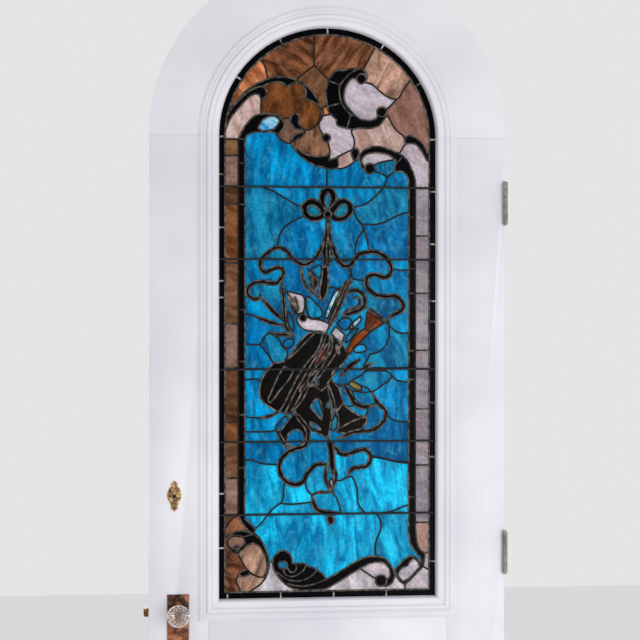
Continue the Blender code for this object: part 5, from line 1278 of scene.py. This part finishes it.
def cut_glass_knob(name, centre, facing):
    """A knob cut in offset rings of twelve, so that lozenge facets meet between them."""
    work = bmesh.new()
    rings = []
    for index, (depth, radius) in enumerate(KNOB_RINGS):
        turn = math.pi / KNOB_SIDES * (index % 2)
        ring = []
        for k in range(KNOB_SIDES):
            angle = turn + 2 * math.pi * k / KNOB_SIDES
            ring.append(work.verts.new((centre.x + KNOB_RADIUS * radius * math.cos(angle),
                                        centre.y - facing * KNOB_DEPTH * depth,
                                        centre.z + KNOB_RADIUS * radius * math.sin(angle))))
        rings.append(ring)
    for index in range(len(rings) - 1):
        low, high = rings[index], rings[index + 1]
        for k in range(KNOB_SIDES):
            n = (k + 1) % KNOB_SIDES
            if index % 2 == 0:
                work.faces.new((low[k], low[n], high[k]))
                work.faces.new((low[n], high[n], high[k]))
            else:
                work.faces.new((low[k], high[n], high[k]))
                work.faces.new((low[k], low[n], high[n]))
    work.faces.new(rings[0])
    work.faces.new(rings[-1])
    bmesh.ops.recalc_face_normals(work, faces=work.faces)
    grime = work.faces.layers.float.new("grime")
    cuts = bmesh.ops.inset_individual(work, faces=list(work.faces), thickness=KNOB_CUT, depth=0.0)
    for face in cuts["faces"]:
        face[grime] = 1.0
    mesh = bpy.data.meshes.new(name)
    work.to_mesh(mesh)
    work.free()
    return linked(name, mesh)


def make_knobs():
    for side, facing in (("room", 1), ("street", -1)):
        low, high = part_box("knob_glass_" + side)
        start = high.y if facing > 0 else low.y
        centre = Vector(((low.x + high.x) / 2, start, (low.z + high.z) / 2))
        knob = cut_glass_knob(f"knob_{side}_cut_glass", centre, facing)
        dress(knob, CUT_GLASS, "knobs", ["knob_glass_" + side], angle=1)
        # The end facet takes pale, nearly shut glass: a painted highlight at the knob's centre
        knob.data.materials.append(KNOB_TABLE_HIGHLIGHT)
        table = max(knob.data.polygons, key=lambda face: -facing * face.center.y)
        table.material_index = 1


def slotted_screw(name):
    """A countersunk screw head, slightly domed, with its slot cut across."""
    work = bmesh.new()
    rings = []
    turns = [2 * math.pi * (k + 0.5) / SCREW_SIDES for k in range(SCREW_SIDES)]
    for share, rise in SCREW_RINGS:
        radius = SCREW_RADIUS * share
        rings.append([work.verts.new((radius * math.cos(t), radius * math.sin(t), rise)) for t in turns])
    for low, high in zip(rings, rings[1:]):
        for k in range(SCREW_SIDES):
            n = (k + 1) % SCREW_SIDES
            work.faces.new((low[k], low[n], high[n], high[k]))
    work.faces.new(rings[0][::-1])
    work.faces.new(rings[-1])
    for vert in work.verts:
        if abs(vert.co.y) < SCREW_RADIUS * SCREW_SLOT_HALF and vert.co.z > SCREW_SLOT_DEPTH:
            vert.co.z = -SCREW_SLOT_DEPTH
    mesh = bpy.data.meshes.new(name)
    work.to_mesh(mesh)
    work.free()
    return linked(name, mesh)


def set_screws(name, tree, screw, spots, finish):
    """Screw heads at spots of (place, direction the head looks, turn of its slot)."""
    mesh = bpy.data.meshes.new(name)
    mesh.from_pydata([place for place, _, _ in spots], [], [])
    turns = []
    for _, looks, spin in spots:
        turn = Vector(looks).to_track_quat("Z", "Y").to_matrix() @ Matrix.Rotation(math.radians(spin), 3, "Z")
        turns += list(turn.to_euler())
    mesh.attributes.new("turn", "FLOAT_VECTOR", "POINT").data.foreach_set("vector", turns)
    heads = grown(name, mesh, tree, {"Screw": screw, "Finish": finish})
    faces_out(heads.data)
    dress(heads, finish)


def keyhole(name, centre, facing):
    """A raised ring round the keyhole, and two dark discs of painted shade in the hole and behind its slot,
    where the lock lies.
    """
    for label, rings, finish, slot in (
        ("ring", KEYHOLE_RING, BRASS, "brass"),
        ("dark", KEYHOLE_SHADE_DISC, IRON, "iron"),
        ("back", KEYHOLE_SHADE_BACK, IRON, "iron"),
    ):
        work = bmesh.new()
        turns = [2 * math.pi * k / KEYHOLE_SIDES for k in range(KEYHOLE_SIDES)]
        loops = [[work.verts.new((centre.x + radius * math.cos(t), centre.y - facing * deep,
                                  centre.z + radius * math.sin(t))) for t in turns]
                 for radius, deep in rings]
        pairs = list(zip(loops, loops[1:]))
        if label == "ring":
            pairs.append((loops[-1], loops[0]))
        else:
            work.faces.new(loops[0])
            work.faces.new(loops[-1])
        for one, two in pairs:
            for k in range(KEYHOLE_SIDES):
                n = (k + 1) % KEYHOLE_SIDES
                work.faces.new((one[k], one[n], two[n], two[k]))
        bmesh.ops.recalc_face_normals(work, faces=work.faces)
        mesh = bpy.data.meshes.new(f"{name}_{label}")
        work.to_mesh(mesh)
        work.free()
        dress(linked(mesh.name, mesh), finish, angle=40)


def make_fittings():
    tree = screw_tree()
    screw = slotted_screw("screw_pattern")
    rng = random.Random(SCREW_SEED)
    for side, facing in (("room", 1), ("street", -1)):
        low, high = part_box("lock_plate_" + side)
        plate = eased_copy("lock_plate_" + side, "lock_plate_" + side + "_bronze", PLATE_EDGE)
        dress(plate, BRONZE, replaces=["lock_plate_" + side])
        face = (low.y if facing > 0 else high.y) + facing * SCREW_SINK
        spots = [((x, face, z), (0, -facing, 0), rng.uniform(0, 180))
                 for x in (low.x + PLATE_SCREW_INSET[0], high.x - PLATE_SCREW_INSET[0])
                 for z in (low.z + PLATE_SCREW_INSET[1], high.z - PLATE_SCREW_INSET[1])]
        set_screws(f"lock_plate_{side}_screws", tree, screw, spots, IRON)
        low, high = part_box("keyhole_escutcheon_" + side)
        shield = eased_copy("keyhole_escutcheon_" + side, "escutcheon_" + side + "_brass", ESCUTCHEON_EDGE)
        outer = low.y if facing > 0 else high.y
        for vert in shield.data.vertices:
            if abs(vert.co.y - outer) < ESCUTCHEON_FACE:
                vert.co.y += facing * ESCUTCHEON_SINK
        dress(shield, BRASS, replaces=["keyhole_escutcheon_" + side])
        middle = Vector(((low.x + high.x) / 2, HALF_THICKNESS * -facing, KEYHOLE_Z))
        keyhole("keyhole_" + side, middle, facing)
        face = outer + facing * (ESCUTCHEON_SINK + SCREW_SINK)
        spots = [((middle.x, face, z), (0, -facing, 0), rng.uniform(0, 180))
                 for z in (low.z + ESCUTCHEON_SCREW_INSET, high.z - ESCUTCHEON_SCREW_INSET)]
        set_screws(f"escutcheon_{side}_screws", tree, screw, spots, IRON)
        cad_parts["knob_shank_" + side].data.materials.clear()
        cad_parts["knob_shank_" + side].data.materials.append(SHANK_BRASS)
    low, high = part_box("lock_face_plate")
    spots = [((low.x + SCREW_SINK, (low.y + high.y) / 2, z), (-1, 0, 0), rng.uniform(0, 180))
             for z in (low.z + PLATE_SCREW_INSET[1], high.z - PLATE_SCREW_INSET[1])]
    set_screws("lock_face_plate_screws", tree, screw, spots, IRON)
    bpy.data.objects.remove(screw)
    for name in ("knob_spindle", "latch_bolt", "lock_face_plate"):
        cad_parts[name].data.materials.clear()
        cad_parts[name].data.materials.append(STEEL if name == "knob_spindle" else BRASS)
    for name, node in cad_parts.items():
        if name.startswith("hinge_") and name != "hinge_stile":
            node.data.materials.clear()
            node.data.materials.append(STEEL)


# Finishes


def surface(name, settings):
    """A finished material. Gives its tree and shader for the links that follow."""
    made, tree = new_material(name)
    shader = add(tree, "ShaderNodeBsdfPrincipled", None, settings)
    add(tree, "ShaderNodeOutputMaterial", None, {"Surface": shader.outputs[0]})
    return made, tree, shader


def painted_wood(name, brush):
    """Oil gloss paint laid on by brush: a soft sheen and faint brush marks along the grain.
    The marks are 4 mm apart, drawn as coarse as they need to show, and the clouds in the white
    are about 290 mm wide, which keeps broad members from looking flat."""
    made, tree, shader = surface(name, {"Roughness": 0.34, "IOR": 1.47})
    place = add(tree, "ShaderNodeTexCoord")
    stretch = add(tree, "ShaderNodeMapping", None, {"Vector": place.outputs["Object"], "Scale": brush})
    marks = add(tree, "ShaderNodeTexNoise", None,
                {"Vector": stretch.outputs[0], "Scale": 1.0, "Detail": 5.0, "Roughness": 0.6})
    clouds = add(tree, "ShaderNodeTexNoise", None,
                 {"Vector": place.outputs["Object"], "Scale": 3.5, "Detail": 3.0, "Roughness": 0.55})
    tone = add(tree, "ShaderNodeValToRGB", {"stops": ((0.3, srgb("#D4D2DA")), (0.7, srgb("#E4E3E8")))},
               {"Fac": clouds.outputs[0]})
    tree.links.new(tone.outputs[0], shader.inputs["Base Color"])
    relief = add(tree, "ShaderNodeBump", None,
                 {"Height": marks.outputs[0], "Strength": 0.06, "Distance": 0.0012})
    tree.links.new(relief.outputs[0], shader.inputs["Normal"])
    return made


def came_lead():
    """Old lead: dull dark patina, with a painted highlight in pale beige beside dark glass and along the
    ring, and pale where solder crosses the border. Its spots are 11 mm wide, drawn as coarse as they need to
    show."""
    made, tree, shader = surface("lead_came_patina", {"Metallic": 0.35, "Roughness": 0.5,
                                                      "Specular IOR Level": 0.3})
    place = add(tree, "ShaderNodeTexCoord")
    spots = add(tree, "ShaderNodeTexNoise", None,
                {"Vector": place.outputs["Object"], "Scale": 90.0, "Detail": 4.0})
    patina = add(tree, "ShaderNodeValToRGB",
                 {"stops": ((0.35, srgb("#0E0A08")), (0.6, srgb("#211813")), (0.85, srgb("#5C4E42")))},
                 {"Fac": spots.outputs[0]})
    bright = add(tree, "ShaderNodeAttribute", {"attribute_name": "bright"})
    pale_mottle = add(tree, "ShaderNodeMapRange", None, {
        "Value": spots.outputs[0], "From Min": 0.4, "From Max": 0.62, "To Min": 0.3, "To Max": 2.2})
    pale_share = add(tree, "ShaderNodeMath", {"operation": "MULTIPLY", "use_clamp": True},
               {0: bright.outputs["Fac"], 1: pale_mottle.outputs[0]})
    # Mixes the patina toward pale beige: solder where the lead crosses the border, and a painted highlight
    # beside dark glass and along the ring, broken up by the spots
    solder_and_highlight = add(tree, "ShaderNodeMix", {"data_type": "RGBA"},
                 {"Factor": pale_share.outputs[0], MIX_A: patina.outputs[0], MIX_B: srgb("#CFC8BC")})
    tree.links.new(solder_and_highlight.outputs[MIX_RESULT], shader.inputs["Base Color"])
    relief = add(tree, "ShaderNodeBump", None,
                 {"Height": spots.outputs[0], "Strength": 0.3, "Distance": 0.0008})
    tree.links.new(relief.outputs[0], shader.inputs["Normal"])
    return made


def opal_glass(name, clear, roughness, shine, veins=0.0, vein_colour=None):
    """Rolled opal glass: milky streaks drawn along the sheet, a rippled skin, and light passing
    through by the share clear. Its streaks are 29 mm wide and 110 mm long and its veins 28 by
    45 mm. Its grain is 8 mm and its ripple 14 mm, both drawn as coarse as they need to show."""
    made, tree = new_material(name)
    place = add(tree, "ShaderNodeTexCoord")
    turn = add(tree, "ShaderNodeAttribute", {"attribute_name": "pane_turn"})
    drift = add(tree, "ShaderNodeAttribute", {"attribute_name": "pane_drift"})
    turned = add(tree, "ShaderNodeVectorRotate", {"rotation_type": "Y_AXIS"},
                 {"Vector": place.outputs["Object"], "Angle": turn.outputs["Fac"]})
    moved = add(tree, "ShaderNodeVectorMath", {"operation": "ADD"},
                {0: turned.outputs[0], 1: drift.outputs["Vector"]})
    stretch = add(tree, "ShaderNodeMapping", None, {"Vector": moved.outputs[0], "Scale": (34.0, 20.0, 9.0)})
    streaks = add(tree, "ShaderNodeTexNoise", None,
                  {"Vector": stretch.outputs[0], "Scale": 1.0, "Detail": 6.0, "Roughness": 0.6,
                   "Distortion": 0.9})
    share = add(tree, "ShaderNodeValToRGB", {"stops": ((0.4, (0, 0, 0, 1)), (0.64, (1, 1, 1, 1)))},
                {"Fac": streaks.outputs[0]})
    base = add(tree, "ShaderNodeAttribute", {"attribute_name": "pane_base"})
    streak = add(tree, "ShaderNodeAttribute", {"attribute_name": "pane_streak"})
    colour = add(tree, "ShaderNodeMix", {"data_type": "RGBA"},
                 {"Factor": share.outputs[0], MIX_A: base.outputs["Color"], MIX_B: streak.outputs["Color"]})
    if veins:
        thin = add(tree, "ShaderNodeMapping", None, {"Vector": moved.outputs[0], "Scale": (36.0, 40.0, 22.0)})
        wisps = add(tree, "ShaderNodeTexNoise", None, {
            "Vector": thin.outputs[0], "Scale": 1.0, "Detail": 6.0, "Roughness": 0.7, "Distortion": 1.4})
        vein = add(tree, "ShaderNodeMapRange", None, {
            "Value": wisps.outputs[0], "From Min": 0.5, "From Max": 0.74, "To Min": 0.0, "To Max": veins})
        colour = add(tree, "ShaderNodeMix", {"data_type": "RGBA"}, {
            "Factor": vein.outputs[0], MIX_A: colour.outputs[MIX_RESULT], MIX_B: srgb(vein_colour)})
    grain = add(tree, "ShaderNodeTexNoise", None,
                {"Vector": moved.outputs[0], "Scale": 130.0, "Detail": 3.0, "Roughness": 0.7})
    depth = add(tree, "ShaderNodeMapRange", None, {
        "Value": grain.outputs[0], "From Min": 0.35, "From Max": 0.65, "To Min": 0.8, "To Max": 1.22})
    mottled = add(tree, "ShaderNodeVectorMath", {"operation": "SCALE"},
                  {"Vector": colour.outputs[MIX_RESULT], "Scale": depth.outputs[0]})
    ripple = add(tree, "ShaderNodeTexNoise", None,
                 {"Vector": place.outputs["Object"], "Scale": 70.0, "Detail": 3.0})
    relief = add(tree, "ShaderNodeBump", None,
                 {"Height": ripple.outputs[0], "Strength": 0.25, "Distance": 0.001})
    skin = add(tree, "ShaderNodeBsdfPrincipled", None, {
        "Base Color": mottled.outputs[0], "Roughness": roughness, "IOR": 1.5,
        "Specular IOR Level": shine, "Normal": relief.outputs[0]})
    if not clear:
        add(tree, "ShaderNodeOutputMaterial", None, {"Surface": skin.outputs[0]})
        return made
    glow = add(tree, "ShaderNodeBsdfTranslucent", None, {"Color": mottled.outputs[0]})
    both = add(tree, "ShaderNodeMixShader", None, {"Fac": clear, 1: skin.outputs[0], 2: glow.outputs[0]})
    add(tree, "ShaderNodeOutputMaterial", None, {"Surface": both.outputs[0]})
    return made


def mottled_metal(name, stops, scale, metallic, roughness, relief_depth, height_shift=None):
    """Metal with blotches of tarnish, scale of them to the metre. A height_shift of (low, high,
    at_low, at_high) moves the tone between two heights."""
    made, tree, shader = surface(name, {"Metallic": metallic, "Roughness": roughness})
    place = add(tree, "ShaderNodeTexCoord")
    blotches = add(tree, "ShaderNodeTexNoise", None,
                   {"Vector": place.outputs["Object"], "Scale": scale, "Detail": 5.0, "Roughness": 0.62})
    level = blotches.outputs[0]
    if height_shift:
        low, high, at_low, at_high = height_shift
        split = add(tree, "ShaderNodeSeparateXYZ", None, {"Vector": place.outputs["Object"]})
        shift = add(tree, "ShaderNodeMapRange", None, {
            "Value": split.outputs["Z"], "From Min": low, "From Max": high, "To Min": at_low,
            "To Max": at_high})
        level = add(tree, "ShaderNodeMath", {"operation": "ADD"}, {0: level, 1: shift.outputs[0]}).outputs[0]
    tone = add(tree, "ShaderNodeValToRGB", {"stops": stops}, {"Fac": level})
    tree.links.new(tone.outputs[0], shader.inputs["Base Color"])
    relief = add(tree, "ShaderNodeBump", None,
                 {"Height": blotches.outputs[0], "Strength": 0.2, "Distance": relief_depth})
    tree.links.new(relief.outputs[0], shader.inputs["Normal"])
    return made


def cut_glass(name, clear):
    """Cut glass: sharp facets, brown along the narrow bands of their cuts. Its seeds are 3 mm, drawn as
    coarse as they need to show."""
    made, tree, shader = surface(name, {"Roughness": 0.03, "IOR": 1.5, "Transmission Weight": clear})
    place = add(tree, "ShaderNodeTexCoord")
    grime = add(tree, "ShaderNodeAttribute", {"attribute_name": "grime"})
    body = add(tree, "ShaderNodeMix", {"data_type": "RGBA"},
               {"Factor": grime.outputs["Fac"], MIX_A: srgb("#FAF8F8"), MIX_B: srgb("#7A4E40")})
    tree.links.new(body.outputs[MIX_RESULT], shader.inputs["Base Color"])
    seeds = add(tree, "ShaderNodeTexNoise", None, {"Vector": place.outputs["Object"], "Scale": 300.0})
    relief = add(tree, "ShaderNodeBump", None,
                 {"Height": seeds.outputs[0], "Strength": 0.05, "Distance": 0.0004})
    tree.links.new(relief.outputs[0], shader.inputs["Normal"])
    return made


def stage_floor():
    """A plain pale floor."""
    mesh = bpy.data.meshes.new("stage_floor")
    z, half = FLOOR_Z - FLOOR_GAP, FLOOR_HALF
    corners = [(-half, -half, z), (half, -half, z), (half, half, z), (-half, half, z)]
    mesh.from_pydata(corners, [], [(0, 1, 2, 3)])
    made, tree, shader = surface("plain_floor", {"Base Color": srgb("#F0F0F2"), "Roughness": 0.8})
    floor = linked("stage_floor", mesh)
    mesh.materials.append(made)


def area_light(name, place, aim, watts):
    data = bpy.data.lights.new(name, "AREA")
    data.shape = "RECTANGLE"
    data.size = data.size_y = LIGHT_SIDE
    data.energy = watts
    lamp = linked(name, data)
    lamp.location = place
    lamp.rotation_euler = (Vector(aim) - Vector(place)).to_track_quat("-Z", "Y").to_euler()
    lamp.visible_camera = False


def make_stage():
    stage_floor()
    world = bpy.data.worlds.new("studio")
    bpy.context.scene.world = world
    world.use_nodes = True
    world.node_tree.nodes["Background"].inputs["Color"].default_value = srgb("#FFFFFF")
    world.node_tree.nodes["Background"].inputs["Strength"].default_value = STUDIO_STRENGTH
    area_light("studio_key", *KEY_LIGHT)
    area_light("studio_back", *BACK_LIGHT)
    lens = bpy.data.cameras.new("camera")
    lens.sensor_width = SENSOR_MM
    lens.lens = CAMERA_FOCAL_PX / IMAGE_PX * SENSOR_MM
    lens.clip_end = CLIP_END
    camera = linked("camera", lens)
    camera.location = CAMERA_PLACE
    turn = Euler((math.radians(90 + CAMERA_PITCH), 0, -math.radians(CAMERA_YAW)), "XYZ").to_matrix()
    roll = Matrix.Rotation(math.radians(CAMERA_ROLL), 3, "Z")
    camera.rotation_euler = (turn @ roll).to_euler()
    bpy.context.scene.camera = camera
    bpy.context.scene.view_settings.view_transform = "Standard"


# White gloss paint. Its brush marks run 200 mm along each member: up the stiles, across the
# rails. Round the head they are 17 mm long, since one direction can't follow the arch.
PAINT = {
    "up": painted_wood("white_gloss_on_stiles", (260.0, 260.0, 5.0)),
    "across": painted_wood("white_gloss_on_rails", (5.0, 260.0, 260.0)),
    "around": painted_wood("white_gloss_on_head", (60.0, 260.0, 60.0)),
}
LEAD = came_lead()
# Coloured glass. Black stays shut to the light and reads as shadow; the others glow by it.
GLASS_FINISH = {
    "black_glass_panes": opal_glass("black_opaque_glass", 0.0, 0.25, 0.03),
    "brown_glass_panes": opal_glass("brown_streaky_glass", 0.4, 0.22, 0.08),
    "amber_glass_panes": opal_glass("amber_streaky_glass", 0.4, 0.22, 0.08, 0.3, "#D2A98C"),
    "lilac_glass_panes": opal_glass("lilac_opal_glass", 0.4, 0.22, 0.08, 0.5, "#C4A08C"),
    "blue_glass_panes": opal_glass("blue_streaky_glass", 0.45, 0.2, 0.06, 0.6, "#55CBE0"),
}
# Blacked iron, with blotches 17 mm wide: bars and screws that read as dull black
IRON = mottled_metal("blacked_iron", ((0.3, srgb("#050404")), (0.7, srgb("#161312"))),
                     60.0, 0.15, 0.6, 0.0008)
# Copper plate with brown tarnish in blotches 14 mm wide, brighter towards its foot
BRONZE = mottled_metal("antiqued_copper_plate", (
    (0.34, srgb("#22140E")), (0.46, srgb("#5E3A28")), (0.6, srgb("#A46444")), (0.74, srgb("#C48C66"))),
    70.0, 0.6, 0.45, 0.0006, (-0.255, -0.11, 0.1, -0.07))
# Cast brass gone dull, in blotches 10 mm wide: the escutcheons, latch bolt and face plate
BRASS = mottled_metal("aged_cast_brass", (
    (0.34, srgb("#3A2A1A")), (0.5, srgb("#86663E")), (0.66, srgb("#CDB084"))), 95.0, 0.85, 0.38, 0.0006)
# Brass kept bright, in blotches 17 mm wide: it shines through the glass of the knobs
SHANK_BRASS = mottled_metal("polished_brass_shank", ((0.3, srgb("#C09880")), (0.7, srgb("#E8C8B4"))),
                            60.0, 1.0, 0.16, 0.0002)
# Steel worn grey, in blotches 12 mm wide: the hinges and the spindle
STEEL = mottled_metal("worn_steel", ((0.3, srgb("#6A6662")), (0.7, srgb("#A8A49E"))),
                      80.0, 0.9, 0.4, 0.0005)
# The knobs' clear glass, and the end facet, pale and nearly shut as a painted highlight at the knob's centre
CUT_GLASS = cut_glass("cut_clear_glass", 0.96)
KNOB_TABLE_HIGHLIGHT = cut_glass("silvered_glass_table", 0.12)

make_stage()
sweeps = moulding_tree()
make_woodwork(sweeps)
make_mouldings(sweeps)
make_window()
make_bars(sweeps)
make_knobs()
make_fittings()
